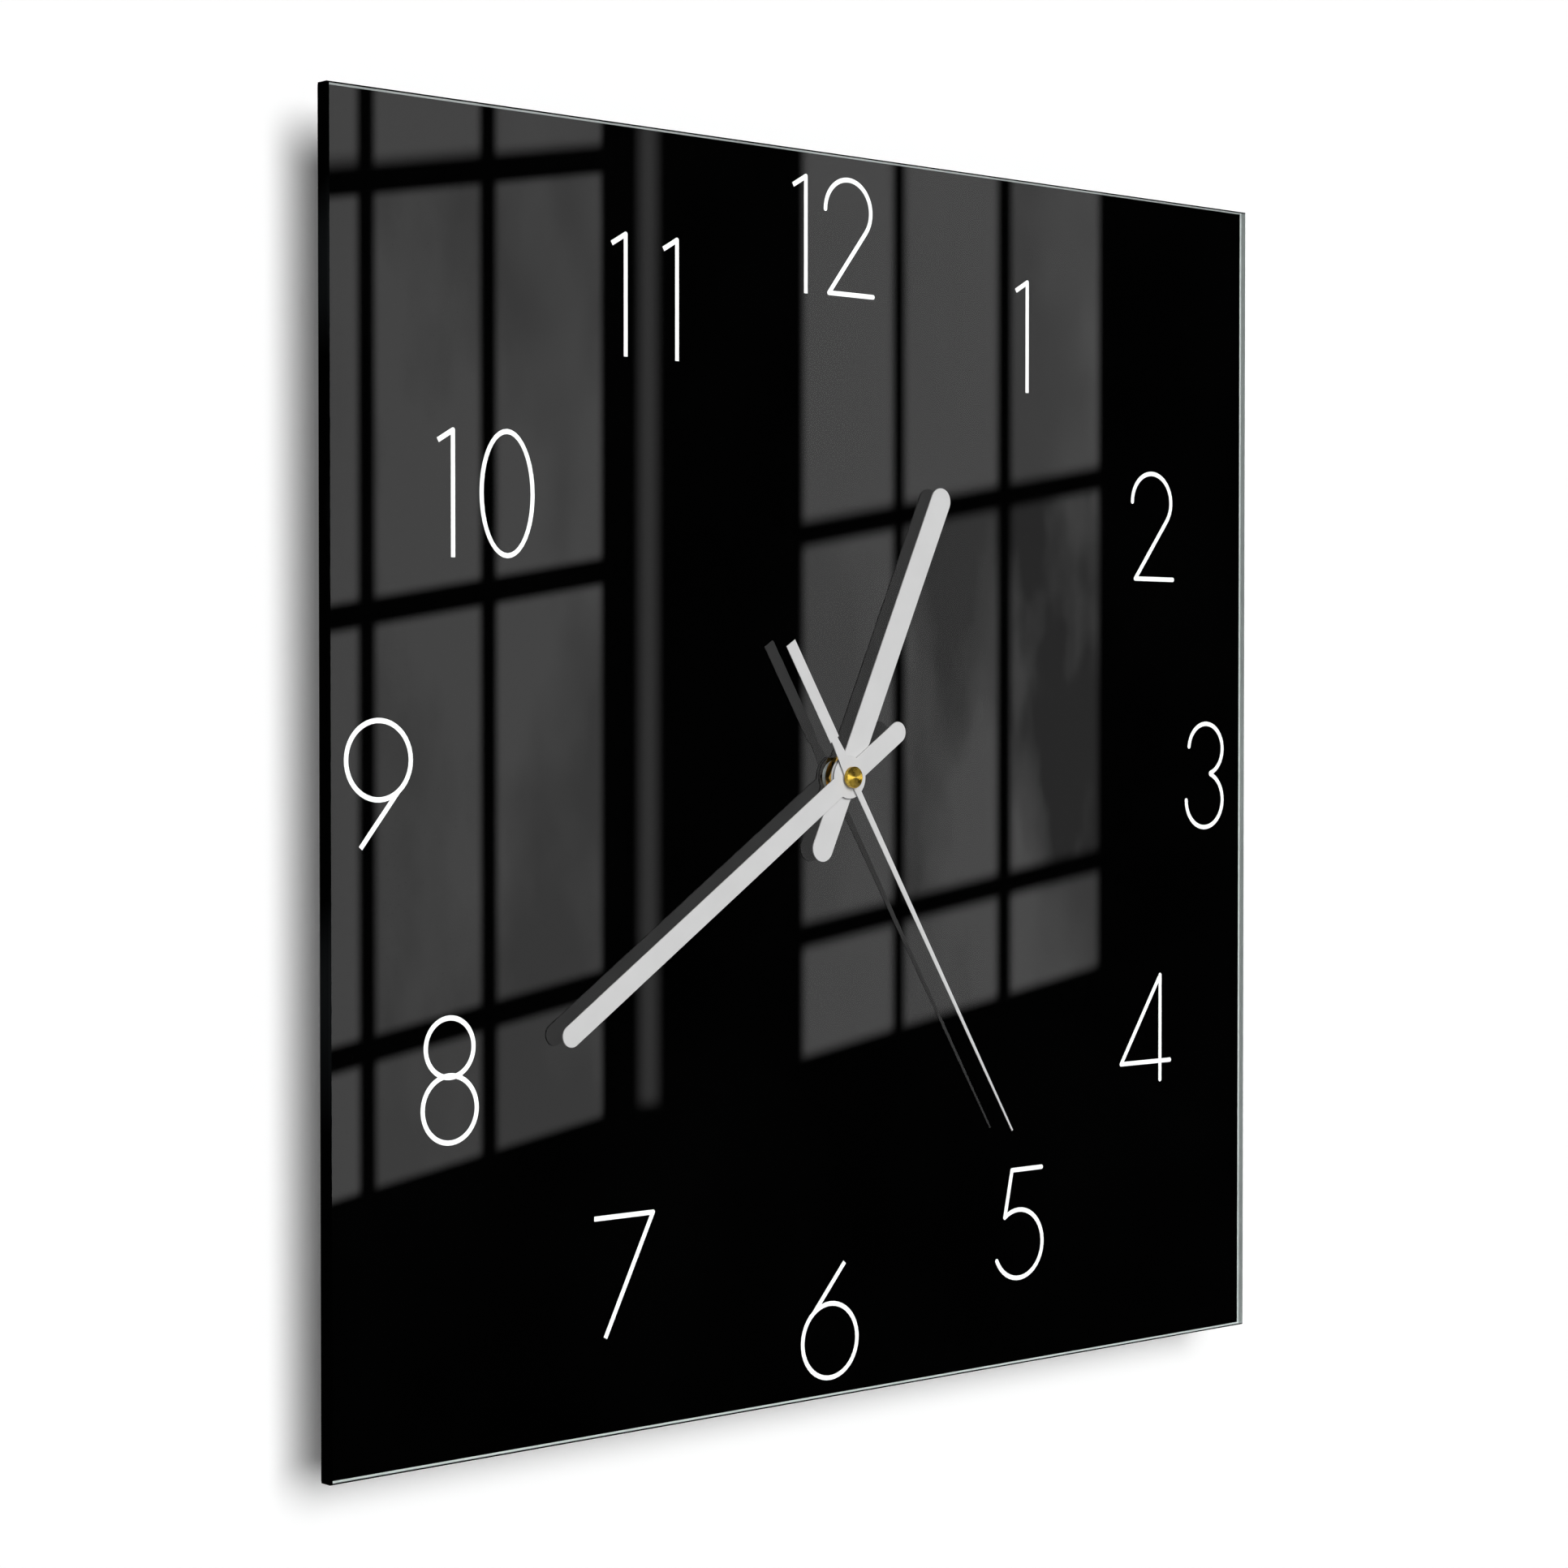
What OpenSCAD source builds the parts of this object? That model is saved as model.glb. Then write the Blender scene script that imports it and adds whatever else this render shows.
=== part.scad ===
// Wall clock: a square glass face with a printed dial, three strip hands and
// a quartz movement that hangs from a stepped steel bracket.
// The origin is the centre of the hanger's keyhole on the wall plane.
// +Z is up, +X is right seen from the front, and the front faces -Y.

/* [Glass] */
// Width and height of the square glass
panel_w = 300; // [280:1:360]
// Thickness of the glass
panel_t = 4; // [3:0.1:6]
// Ground bevel along the glass edges
edge_bevel = 0.4; // [0.2:0.1:0.8]

/* [Dial] */
// Thickness of the print on the back of the glass
print_t = 0.15; // [0.1:0.05:0.3]
// Clear rim left outside the print
print_inset = 0.3; // [0:0.1:3]
// Radius of the circle that the numerals stand on
numeral_r = 131; // [115:1:160]
// Height of a numeral
numeral_h = 28.8; // [20:0.1:34]
// Width of a numeral's strokes
stroke_w = 1.15; // [0.8:0.05:2.5]

/* [Hands] */
// Thickness of the hour and minute hands
hand_t = 0.4; // [0.3:0.1:0.6]
// Thickness of the second hand
second_t = 0.2; // [0.2:0.1:0.5]
// Length of the hour hand from the arbor
hour_len = 78; // [50:1:95]
// Width of the hour hand
hour_w = 6.5; // [4:0.1:9]
// Length of the minute hand from the arbor
minute_len = 106; // [80:1:118]
// Width of the minute hand
minute_w = 5.2; // [3:0.1:8]
// Tail of the hour and minute hands behind the arbor
hand_tail = 22; // [8:1:35]
// Diameter of the hour and minute hands' round hubs
hub_d = 10.4; // [9:0.1:14]
// Length of the second hand from the arbor
second_len = 105.6; // [70:0.1:118]
// Tail of the second hand behind the arbor
second_tail = 37.8; // [20:0.1:50]
// Width of the second hand's counterweight
weight_w = 3.2; // [2:0.1:5]
// Diameter of the brass cap on the second hand
cap_d = 5.2; // [4:0.1:8]
// Clockwise angle of the hour hand from twelve
hour_angle = 25.2; // [0:0.1:360]
// Clockwise angle of the minute hand from twelve
minute_angle = 236.4; // [0:0.1:360]
// Clockwise angle of the second hand from twelve
second_angle = 148.1; // [0:0.1:360]

/* [Movement] */
// Width and height of the movement's case
case_w = 56; // [55:0.1:70]
// Depth of the movement's case
case_d = 15.8; // [15.8:0.02:20]
// Wall of the case
case_wall = 1.2; // [1:0.1:1.6]
// Gap between the case and the wall that the clock hangs on
case_gap = 1.2; // [0.8:0.1:4]
// Diameter of the threaded bush
bush_d = 7.8; // [7.4:0.02:9.5]

/* [Hanging] */
// Thickness of the hanger's steel
hanger_t = 1; // [0.8:0.1:1.5]
// Width of the hanger
hanger_w = 26; // [20:1:40]
// Diameter of the keyhole's round part
keyhole_d = 8; // [6:0.5:10]
// Width of the keyhole's slot
keyhole_slot_w = 3.6; // [3:0.1:5]
// Height of the keyhole above the arbor
hanger_rise = 40; // [38:0.5:60]
// Diameter of a wall bumper
bumper_d = 12; // [8:1:20]
// How far in from the glass edges a bumper's centre is
bumper_inset = 32; // [14:1:60]

/* [Hidden] */

$fn = 64;
cut = 1;                    // how far a cutter runs past the face that it opens
seat_gap = 0.02;            // radial gap of a part pressed or screwed onto another
run_gap = 0.06;             // radial gap of a part that turns on another
end_gap = 0.2;              // gap along the axis between turning parts
join = 0.1;                 // how far a solid sinks into the one that it grows from
boss_gap = 0.4;             // gap along the axis between a wheel and the boss beside it

// Levels along the axis, from the wall (0) towards the front
case_z0 = case_gap;
case_z1 = case_z0 + case_d;
front_in_z = case_z1 - case_wall;
rear_in_z = case_z0 + case_wall;
hanger_z1 = case_z1 + hanger_t;
sealing_t = 1;
print_z0 = hanger_z1 + sealing_t;
glass_z0 = print_z0 + print_t;
glass_z1 = glass_z0 + panel_t;
washer_t = 0.2;
nut_t = 1.4;
nut_z0 = glass_z1 + washer_t;
bush_z1 = nut_z0 + nut_t + 0.2;
hour_z = bush_z1 + end_gap;
minute_z = hour_z + hand_t + 0.5;
second_z = minute_z + hand_t + 0.5;

// Radii of the nested shafts, from the inside out
arbor_r = 0.5;
minute_bore_r = arbor_r + run_gap;
minute_tube_r = 1.6;
hour_bore_r = minute_tube_r + run_gap;
hour_tube_r = 2.5;
bush_bore_r = hour_tube_r + run_gap;
bush_collar_r = bush_d / 2 + 0.9;
bush_collar_t = 0.8;
bush_collar_sunk = 0.4;
glass_hole_d = bush_d + 0.4;
nut_flats = bush_d + 1.6;
washer_r = nut_flats / 2 + 0.4;
sealing_r = bush_d / 2 + 5.1;

// Gear train. Modules are in millimetres per tooth, and angles are measured
// anticlockwise from +X, seen from the front.
pressure = 20;
addendum = 0.75;
dedendum = 1.1;
tooth_share = 0.8;          // a tooth's width as a share of half the pitch
motion_module = 0.52;
minute_module = 0.28;
fifth_module = 0.24;
pinion_teeth = 8;
cannon_teeth = 10;
motion_teeth = 30;
hour_teeth = 32;
minute_teeth = 64;
third_teeth = 60;
second_teeth = 40;
fifth_teeth = 48;

motion_dist = (motion_teeth + cannon_teeth) * motion_module / 2;
third_dist = (minute_teeth + pinion_teeth) * minute_module / 2;
second_module = 2 * third_dist / (third_teeth + pinion_teeth);
fifth_dist = (second_teeth + pinion_teeth) * minute_module / 2;
rotor_dist = (fifth_teeth + pinion_teeth) * fifth_module / 2;

motion_dir = 5;
third_dir = 160;
fifth_dir = 60;
rotor_dir = 60;
function polar(r, a) = [r * cos(a), r * sin(a)];
motion_at = polar(motion_dist, motion_dir);
third_at = polar(third_dist, third_dir);
fifth_at = polar(fifth_dist, fifth_dir);
rotor_at = fifth_at + polar(rotor_dist, rotor_dir);

// Layers of the train: the front ones hang from the case's front,
// the rear ones stand on its rear wall.
hour_wheel_z = front_in_z - 1.6;
motion_wheel_z = hour_wheel_z - 1.6;
minute_wheel_z = motion_wheel_z - 1.4;
plate_t = 0.6;
plate_z = minute_wheel_z - 1;
third_wheel_z = plate_z - 1.2;
second_wheel_z = third_wheel_z - 1.4;
fifth_wheel_z = second_wheel_z - 1.6;
magnet_z = fifth_wheel_z - 2.2;
stator_z = magnet_z + 0.4;
wheel_t = 0.8;
front_wheel_t = 1;
pivot_r = 0.35;
pivot_boss_r = 1.1;

// Battery bay, across the bottom of the case
cell_r = 7.1;
cell_len = 50.5;
nub_len = 1;
nub_r = 2.75;
sleeve_t = 0.12;
inner_w = case_w - 2 * case_wall;
cell_y = -inner_w / 2 + cell_r + 0.7;
bay_y = cell_y + cell_r + 0.5;
cell_z = front_in_z - cell_r - 0.2;
contact_t = 0.4;
contact_gap = 0.4;          // between a contact and the wall behind it

// Coil, across the top of the case
coil_y = rotor_at[1] + 9.4;
stator_t = 0.8;
stator_band = 4.2;          // half width of the stator's plate
stator_reach = 14.7;        // from the rotor to the outside of each leg
leg_w = 3.4;
core_t = 1.2;
core_w = 2.4;
core_z = stator_z + stator_t;
bobbin_w = 6;
bobbin_flange_t = 0.8;
bobbin_len = 2 * (stator_reach - leg_w) - 1;

// Circuit board, in the upper left corner seen from the front
board_w = 15;
board_h = 12;
board_t = 0.8;
board_at = [-inner_w / 2 + 1.4, 9];
board_z = rear_in_z + 1.6;

// Bosses under the circuit board and the coil's ends
board_post_r = 1.2;
board_posts = [board_at + [2.5, 2.5], board_at + [board_w - 2.5, board_h - 3]];
coil_post_r = 1.4;
coil_posts = [rotor_at[0] - stator_reach + leg_w / 2, rotor_at[0] + stator_reach - leg_w / 2];

// Setting knob in its recess in the rear wall
shaft_r = 0.9;
knob_r = 6;
knob_z0 = case_z0 - 0.8;
knob_t = 2;
recess_r = knob_r + 0.8;
recess_floor_z = knob_z0 + knob_t + 0.4;

// Posts that hold the middle plate
post_r = 1.8;
post_x = inner_w / 2 - 3.4;
post_ys = [bay_y + 3.2, inner_w / 2 - 3.2];
case_split_z = plate_z - 0.6;

// Places a part drawn about the arbor, with its front towards +Z and its top
// towards +Y, on the wall.
module placed() {
    translate([0, 0, -hanger_rise]) rotate([90, 0, 0]) children();
}

module disc(r, z0, z1) {
    translate([0, 0, z0]) cylinder(r = r, h = z1 - z0);
}

module at(p) {
    translate([p[0], p[1], 0]) children();
}

module slab(z0, t) {
    translate([0, 0, z0]) linear_extrude(t) children();
}

// ---- Strokes of the numerals ----
// Glyphs are drawn as centre lines, 27.3 units high and centred on zero.
glyph_h = 27.3;
arc_step = 9;
glyph_scale = (numeral_h - stroke_w) / glyph_h;

function arc_points(c, r, a0, a1) =
    let(n = ceil(abs(a1 - a0) / arc_step))
    [for (i = [0:n]) c + polar(r, a0 + (a1 - a0) * i / n)];
sharp_turn = 20;            // a corner that turns more than this is rounded outside
function heading(v) = atan2(v[1], v[0]);
// Turn at point i of line p, from -180 to 180 degrees, positive to the left
function turn(p, i) =
    let(a = heading(p[i + 1] - p[i]) - heading(p[i] - p[i - 1]))
    a > 180 ? a - 360 : a < -180 ? a + 360 : a;
// Points beside corner i at distance d, on the left (side 1) or the right (side -1):
// round outside a sharp corner, and mitred everywhere else
function beside(p, i, d, side) =
    let(a = heading(p[i] - p[i - 1]) + side * 90, bend = turn(p, i))
    side * bend < -sharp_turn ? arc_points(p[i], d, a, a + bend)
        : [p[i] + polar(d / cos(bend / 2), a + bend / 2)];
// Round or square end at point c of a line that arrives there heading along a
function line_end(c, d, a, round) = round ? arc_points(c, d, a - 90, a + 90)
    : [c + polar(d, a - 90), c + polar(d, a + 90)];
// Outline of a stroke of width w along the open line p
function stroke_outline(p, w, round_start, round_end) =
    let(last = len(p) - 1, d = w / 2)
    concat(
        [for (i = [1:1:last - 1]) each beside(p, i, d, -1)],
        line_end(p[last], d, heading(p[last] - p[last - 1]), round_end),
        [for (i = [last - 1:-1:1])
            let(corner = beside(p, i, d, 1), n = len(corner) - 1)
            each [for (k = [n:-1:0]) corner[k]]],
        line_end(p[0], d, heading(p[0] - p[1]), round_start));

module stroke(line, round_start = true, round_end = true) {
    polygon(stroke_outline(line * glyph_scale, stroke_w, round_start, round_end));
}

module ring(c, r) {
    translate(c * glyph_scale) difference() {
        circle(r = r * glyph_scale + stroke_w / 2);
        circle(r = r * glyph_scale - stroke_w / 2);
    }
}

// Angle on a circle of radius r about c where the line from point p touches it
function touch_angle(c, r, p, side) =
    atan2(p[1] - c[1], p[0] - c[0]) + side * acos(r / norm(p - c));

top_y = glyph_h / 2;

module digit_0() {
    zero_r = [7.1, glyph_h / 2];
    difference() {
        polygon([for (a = [0:arc_step:359])
            [(zero_r[0] * glyph_scale + stroke_w / 2) * cos(a),
             (zero_r[1] * glyph_scale + stroke_w / 2) * sin(a)]]);
        polygon([for (a = [0:arc_step:359])
            [(zero_r[0] * glyph_scale - stroke_w / 2) * cos(a),
             (zero_r[1] * glyph_scale - stroke_w / 2) * sin(a)]]);
    }
}

module digit_1() {
    stroke([[-4.1, top_y - 2.8], [0, top_y - 0.45], [0, -top_y - 0.75]], false, false);
}

module digit_2() {
    r = 7.45;
    c = [0, top_y - r];
    foot = [-6.3, -top_y];
    stroke(concat(arc_points(c, r, 180, touch_angle(c, r, foot, 1)), [foot, [8.2, -top_y]]));
}

module digit_3() {
    low_r = 7.2;
    high_r = 6.65;
    stroke(arc_points([0, low_r - top_y], low_r, 70, -180));
    stroke(arc_points([0.5, top_y - high_r], high_r, 174, -73));
}

module digit_4() {
    bar_y = -8.75;
    left = [-15, bar_y];
    near_top = 0.98;            // the slanting stroke ends inside the upright one
    stroke([[0, top_y], [0, -top_y]]);
    stroke([[3.8, bar_y], left, left + near_top * ([0, top_y] - left)], true, false);
}

module digit_5() {
    r = 8.6;
    stroke(concat([[8.3, top_y], [-2.35, top_y]], arc_points([0, r - top_y], r, 125, -155)));
}

// A six with a bowl of radius r, which is also a nine turned over
module digit_6(r) {
    c = [0, r - top_y];
    end = [4.8, top_y];
    sink = 0.2;                 // how far the straight stroke sinks into the ring
    a = touch_angle(c, r - sink, end, 1);
    start = c + polar(r - sink, a) + polar(sqrt(2 * sink * r), a - 90);
    ring(c, r);
    stroke([start, end], false, false);
}

module digit_7() {
    stroke([[-17.35, top_y], [0, top_y], [-14.15, -top_y]], false, false);
}

module digit_8() {
    low_r = 7.35;
    high_r = 6.5;
    ring([0, low_r - top_y], low_r);
    ring([0, top_y - high_r], high_r);
}

module digit(n) {
    if (n == 0) digit_0();
    if (n == 1) digit_1();
    if (n == 2) digit_2();
    if (n == 3) digit_3();
    if (n == 4) digit_4();
    if (n == 5) digit_5();
    if (n == 6) digit_6(8.9);
    if (n == 7) digit_7();
    if (n == 8) digit_8();
    if (n == 9) rotate(180) digit_6(8.5);
}

// Each hour's digits with their places about the numeral's centre, twelve first
hour_digits = [
    [[1, -9.1], [2, 4.7]], [[1, 1.9]], [[2, -0.4]], [[3, 0]], [[4, 5.6]], [[5, -0.5]],
    [[6, 0]], [[7, 8.3]], [[8, 0]], [[9, 0]], [[1, -9.1], [0, 5.8]], [[1, -5.8], [1, 9.5]]
];
// How far each numeral is set off the circle, twelve first
hour_nudge = [
    [-0.3, -0.4], [-0.4, -2.1], [1.4, -1], [4.7, -1.3], [-1, -2.2], [-0.7, -1.2],
    [-1.5, -0.9], [-0.6, -0.5], [-2.9, 0], [-4.4, 0.1], [7.5, -1.1], [5.7, -1.7]
];

module numeral_outlines() {
    for (hour = [0:11])
        translate(polar(numeral_r, 90 - 30 * hour) + hour_nudge[hour])
            for (d = hour_digits[hour])
                translate([d[1] * glyph_scale, 0]) digit(d[0]);
}

// ---- Glass and dial ----
module glass_panel() {
    half = panel_w / 2;
    color([0.85, 0.92, 0.9, 0.3]) placed() difference() {
        translate([-half, -half, glass_z0]) cube([panel_w, panel_w, panel_t]);
        disc(glass_hole_d / 2, glass_z0 - cut, glass_z1 + cut);
        for (side = [0:3], z = [glass_z0, glass_z1])
            rotate(90 * side) translate([half, 0, z]) rotate([0, 45, 0])
                cube([edge_bevel * sqrt(2), panel_w + 2 * cut, edge_bevel * sqrt(2)],
                    center = true);
    }
}

module dial_print() {
    print_w = panel_w - 2 * print_inset;
    color([0.01, 0.01, 0.012]) placed() slab(print_z0, print_t) difference() {
        square(print_w, center = true);
        circle(d = glass_hole_d);
        numeral_outlines();
    }
}

module numerals() {
    color("white") placed() slab(print_z0, print_t) numeral_outlines();
}

module wall_bumpers() {
    for (side = [-1, 1])
        color([0.1, 0.1, 0.1]) placed()
            at([side * (panel_w / 2 - bumper_inset), bumper_inset - panel_w / 2])
                disc(bumper_d / 2, 0, print_z0);
}

// ---- Fastening at the centre ----
module hanger_plate() {
    foot_y = case_w / 2 + 1.2;      // where the plate bends back over the case
    keyhole_top = 6.5;              // from the keyhole's centre to the slot's top
    plate_top = hanger_rise + keyhole_top + 4;
    tongue = 12;                    // how far the plate runs down behind the glass
    corner_r = 4;
    color([0.72, 0.73, 0.75]) placed() {
        difference() {
            union() {
                slab(case_z1, hanger_t) translate([-hanger_w / 2, -tongue])
                    square([hanger_w, foot_y + hanger_t + tongue]);
                translate([-hanger_w / 2, foot_y, 0])
                    cube([hanger_w, hanger_t, case_z1 + hanger_t]);
                slab(0, hanger_t) difference() {
                    union() {
                        translate([-hanger_w / 2, foot_y])
                            square([hanger_w, plate_top - corner_r - foot_y]);
                        translate([-hanger_w / 2 + corner_r, foot_y])
                            square([hanger_w - 2 * corner_r, plate_top - foot_y]);
                        for (side = [-1, 1])
                            translate([side * (hanger_w / 2 - corner_r), plate_top - corner_r])
                                circle(r = corner_r);
                    }
                    translate([-keyhole_slot_w / 2, hanger_rise])
                        square([keyhole_slot_w, keyhole_top - keyhole_slot_w / 2]);
                    translate([0, hanger_rise + keyhole_top - keyhole_slot_w / 2])
                        circle(d = keyhole_slot_w);
                }
            }
            disc(bush_d / 2 + seat_gap, case_z1 - cut, hanger_z1 + cut);
            translate([0, hanger_rise, -cut]) cylinder(d = keyhole_d, h = hanger_t + 2 * cut);
        }
    }
}

module washer(inner_r, outer_r, z0, t) {
    placed() difference() {
        disc(outer_r, z0, z0 + t);
        disc(inner_r, z0 - cut, z0 + t + cut);
    }
}

module sealing_washer() {
    color([0.08, 0.08, 0.08]) washer(bush_d / 2 + seat_gap, sealing_r, hanger_z1, sealing_t);
}

module front_washer() {
    color([0.8, 0.66, 0.35]) washer(bush_d / 2 + seat_gap, washer_r, glass_z1, washer_t);
}

module hex_nut() {
    color([0.78, 0.6, 0.25]) placed() difference() {
        translate([0, 0, nut_z0]) cylinder(d = nut_flats / cos(30), h = nut_t, $fn = 6);
        disc(bush_d / 2 + seat_gap, nut_z0 - cut, nut_z0 + nut_t + cut);
    }
}

module threaded_bush() {
    collar_z1 = front_in_z + bush_collar_sunk;
    color([0.78, 0.6, 0.25]) placed() difference() {
        union() {
            disc(bush_d / 2, collar_z1 - bush_collar_t, bush_z1);
            disc(bush_collar_r, collar_z1 - bush_collar_t, collar_z1);
        }
        disc(bush_bore_r, front_in_z - 2 * cut, bush_z1 + cut);
    }
}

// ---- Case of the movement ----
module case_outline(w) {
    corner_r = 2.5;
    square([w, w - 2 * corner_r], center = true);
    square([w - 2 * corner_r, w], center = true);
    for (x = [-1, 1], y = [-1, 1])
        translate([x, y] * (w / 2 - corner_r)) circle(r = corner_r);
}

module case_posts(z0, z1) {
    for (x = [-post_x, post_x], y = post_ys)
        at([x, y]) disc(post_r, z0, z1);
}

module bay_wall(z0, z1) {
    slot = contact_t + 2 * contact_gap;   // room for the contact strips
    translate([-inner_w / 2 + slot, bay_y, z0])
        cube([inner_w - 2 * slot, case_wall, z1 - z0]);
}

module case_front() {
    pivot_z = minute_wheel_z + front_wheel_t + boss_gap;
    color([0.12, 0.12, 0.13]) placed() difference() {
        union() {
            difference() {
                slab(case_split_z, case_z1 - case_split_z) case_outline(case_w);
                slab(case_split_z - cut, front_in_z - case_split_z + cut)
                    square(inner_w, center = true);
            }
            case_posts(plate_z + plate_t, front_in_z + join);
            bay_wall(case_split_z, front_in_z + join);
            at(third_at) disc(pivot_boss_r, pivot_z, front_in_z + join);
        }
        disc(bush_d / 2 + seat_gap, front_in_z - cut, case_z1 + cut);
        disc(bush_collar_r + seat_gap, front_in_z - cut, front_in_z + bush_collar_sunk);
        at(motion_at) disc(pivot_r + run_gap, front_in_z - cut, front_in_z + 0.8);
        at(third_at) disc(pivot_r + run_gap, pivot_z - cut, front_in_z);
    }
}

module case_rear() {
    knob_ring_r = recess_r + case_wall;
    color([0.12, 0.12, 0.13]) placed() difference() {
        union() {
            difference() {
                slab(case_z0, case_split_z - case_z0) case_outline(case_w);
                slab(rear_in_z, case_split_z - rear_in_z + cut) square(inner_w, center = true);
            }
            case_posts(rear_in_z - join, plate_z);
            bay_wall(rear_in_z - join, case_split_z);
            at(motion_at) disc(knob_ring_r, rear_in_z - join, recess_floor_z + case_wall);
            at(third_at) disc(pivot_boss_r, rear_in_z - join, third_wheel_z - boss_gap - end_gap);
            at(fifth_at) disc(pivot_boss_r, rear_in_z - join, fifth_wheel_z - boss_gap - end_gap);
            at(rotor_at) disc(pivot_boss_r, rear_in_z - join, magnet_z - boss_gap);
            disc(pivot_boss_r, rear_in_z - join, fifth_wheel_z - boss_gap - end_gap);
            for (p = board_posts) at(p) disc(board_post_r, rear_in_z - join, board_z);
            for (x = coil_posts) at([x, coil_y]) disc(coil_post_r, rear_in_z - join, stator_z);
        }
        translate([-inner_w / 2, -inner_w / 2, case_z0 - cut])
            cube([inner_w, bay_y + inner_w / 2, case_wall + 2 * cut]);
        at(motion_at) disc(recess_r, case_z0 - cut, recess_floor_z);
        at(motion_at) disc(shaft_r + run_gap, recess_floor_z - cut,
            recess_floor_z + case_wall + cut);
        at(third_at) disc(pivot_r + run_gap, rear_in_z, third_wheel_z);
        at(fifth_at) disc(pivot_r + run_gap, rear_in_z, fifth_wheel_z);
        at(rotor_at) disc(pivot_r + run_gap, case_z0 + 0.5, magnet_z);
        disc(arbor_r + run_gap, rear_in_z, fifth_wheel_z);
    }
}

module middle_plate() {
    margin = 0.4;
    collar_r = 1.4;             // round the arbor
    pinion_hole_r = 1.7;        // lets the third wheel's pinion through
    edge_x = inner_w / 2 - margin - contact_t - contact_gap;
    edge_y0 = bay_y + case_wall + margin;
    edge_y1 = inner_w / 2 - margin - contact_t - contact_gap;
    color([0.85, 0.85, 0.82]) placed() difference() {
        union() {
            slab(plate_z, plate_t) translate([-edge_x, edge_y0])
                square([2 * edge_x, edge_y1 - edge_y0]);
            disc(collar_r, plate_z, minute_wheel_z - end_gap);
        }
        disc(arbor_r + run_gap, plate_z - cut, minute_wheel_z + cut);
        at(motion_at) disc(shaft_r + run_gap, plate_z - cut, plate_z + plate_t + cut);
        at(third_at) disc(pinion_hole_r, plate_z - cut, plate_z + plate_t + cut);
        for (p = [fifth_at, rotor_at])
            at(p) disc(pivot_r + run_gap, plate_z - cut, plate_z + plate_t + cut);
    }
}

// ---- Battery and contacts ----
module along_x(p) {
    translate(p) rotate([0, 90, 0]) children();
}

module battery_can() {
    body_len = cell_len - nub_len;
    color([0.75, 0.76, 0.78]) placed() along_x([-cell_len / 2, cell_y, cell_z]) {
        cylinder(r = nub_r, h = nub_len + cut);
        translate([0, 0, nub_len]) cylinder(r = cell_r - sleeve_t, h = body_len);
    }
}

module battery_sleeve() {
    lip = 0.4;                  // bare metal left at each end of the can
    color([0.15, 0.3, 0.5]) placed()
        along_x([-cell_len / 2 + nub_len + lip, cell_y, cell_z]) difference() {
            cylinder(r = cell_r, h = cell_len - nub_len - 2 * lip);
            translate([0, 0, -cut])
                cylinder(r = cell_r - sleeve_t + seat_gap, h = cell_len + 2 * cut);
        }
}

// Plate against the end wall with a bulge that touches the cell
module contact_blade() {
    blade_w = 11;
    face_x = inner_w / 2 - contact_gap - contact_t;
    bulge = face_x - cell_len / 2 - 0.05;
    translate([face_x, cell_y - blade_w / 2, cell_z - blade_w / 2])
        cube([contact_t, blade_w, blade_w]);
    translate([face_x - bulge, cell_y, cell_z]) rotate([0, 90, 0])
        cylinder(r = 2, h = bulge);
}

module contact_strip(y1) {
    face_x = inner_w / 2 - contact_gap - contact_t;
    strip_w = 2.4;
    translate([face_x, cell_y, board_z + board_t])
        cube([contact_t, y1 - cell_y, strip_w]);
}

module contact_positive() {
    tab_y = board_at[1] + 3;
    color([0.8, 0.78, 0.7]) placed() mirror([1, 0, 0]) {
        contact_blade();
        contact_strip(tab_y + 2);
        translate([-board_at[0] - 2, tab_y, board_z + board_t])
            cube([inner_w / 2 - contact_gap + board_at[0] + 2, 2, contact_t]);
    }
}

module contact_negative() {
    top_y0 = inner_w / 2 - contact_gap - contact_t;
    tab_x = board_at[0] + board_w - 3;
    strip_w = 2.4;
    color([0.8, 0.78, 0.7]) placed() {
        contact_blade();
        contact_strip(top_y0 + contact_t);
        translate([tab_x, top_y0, board_z + board_t])
            cube([inner_w / 2 - contact_gap - tab_x, contact_t, strip_w]);
        translate([tab_x, board_at[1] + board_h - 2, board_z + board_t])
            cube([2, top_y0 + contact_t - board_at[1] - board_h + 2, contact_t]);
    }
}

// ---- Circuit and coil ----
module circuit_board() {
    color([0.1, 0.35, 0.2]) placed() slab(board_z, board_t)
        translate(board_at) square([board_w, board_h]);
}

module chip_cover() {
    chip_r = 2.6;
    color([0.05, 0.05, 0.05]) placed() at(board_at + [6.2, 8.4])
        disc(chip_r, board_z + board_t, board_z + board_t + 1.1);
}

module quartz_crystal() {
    can_r = 1;
    can_len = 6;
    color([0.8, 0.8, 0.82]) placed()
        translate([board_at[0] + 12, board_at[1] + 3.5, board_z + board_t + can_r + seat_gap])
            rotate([-90, 0, 0]) cylinder(r = can_r, h = can_len);
}

rotor_hole_r = 2.9;         // clears the magnet

module stator() {
    color([0.5, 0.5, 0.52]) placed() slab(stator_z, stator_t) difference() {
        union() {
            at(rotor_at) square([2 * stator_reach, 2 * stator_band], center = true);
            for (side = [-1, 1])
                translate([rotor_at[0] + side * (stator_reach - leg_w / 2) - leg_w / 2,
                    rotor_at[1]]) square([leg_w, coil_y - rotor_at[1] + leg_w / 2]);
        }
        at(rotor_at) circle(r = rotor_hole_r);
    }
}

module coil_core() {
    color([0.6, 0.6, 0.62]) placed()
        translate([rotor_at[0] - stator_reach, coil_y - core_w / 2, core_z])
            cube([2 * stator_reach, core_w, core_t]);
}

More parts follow.
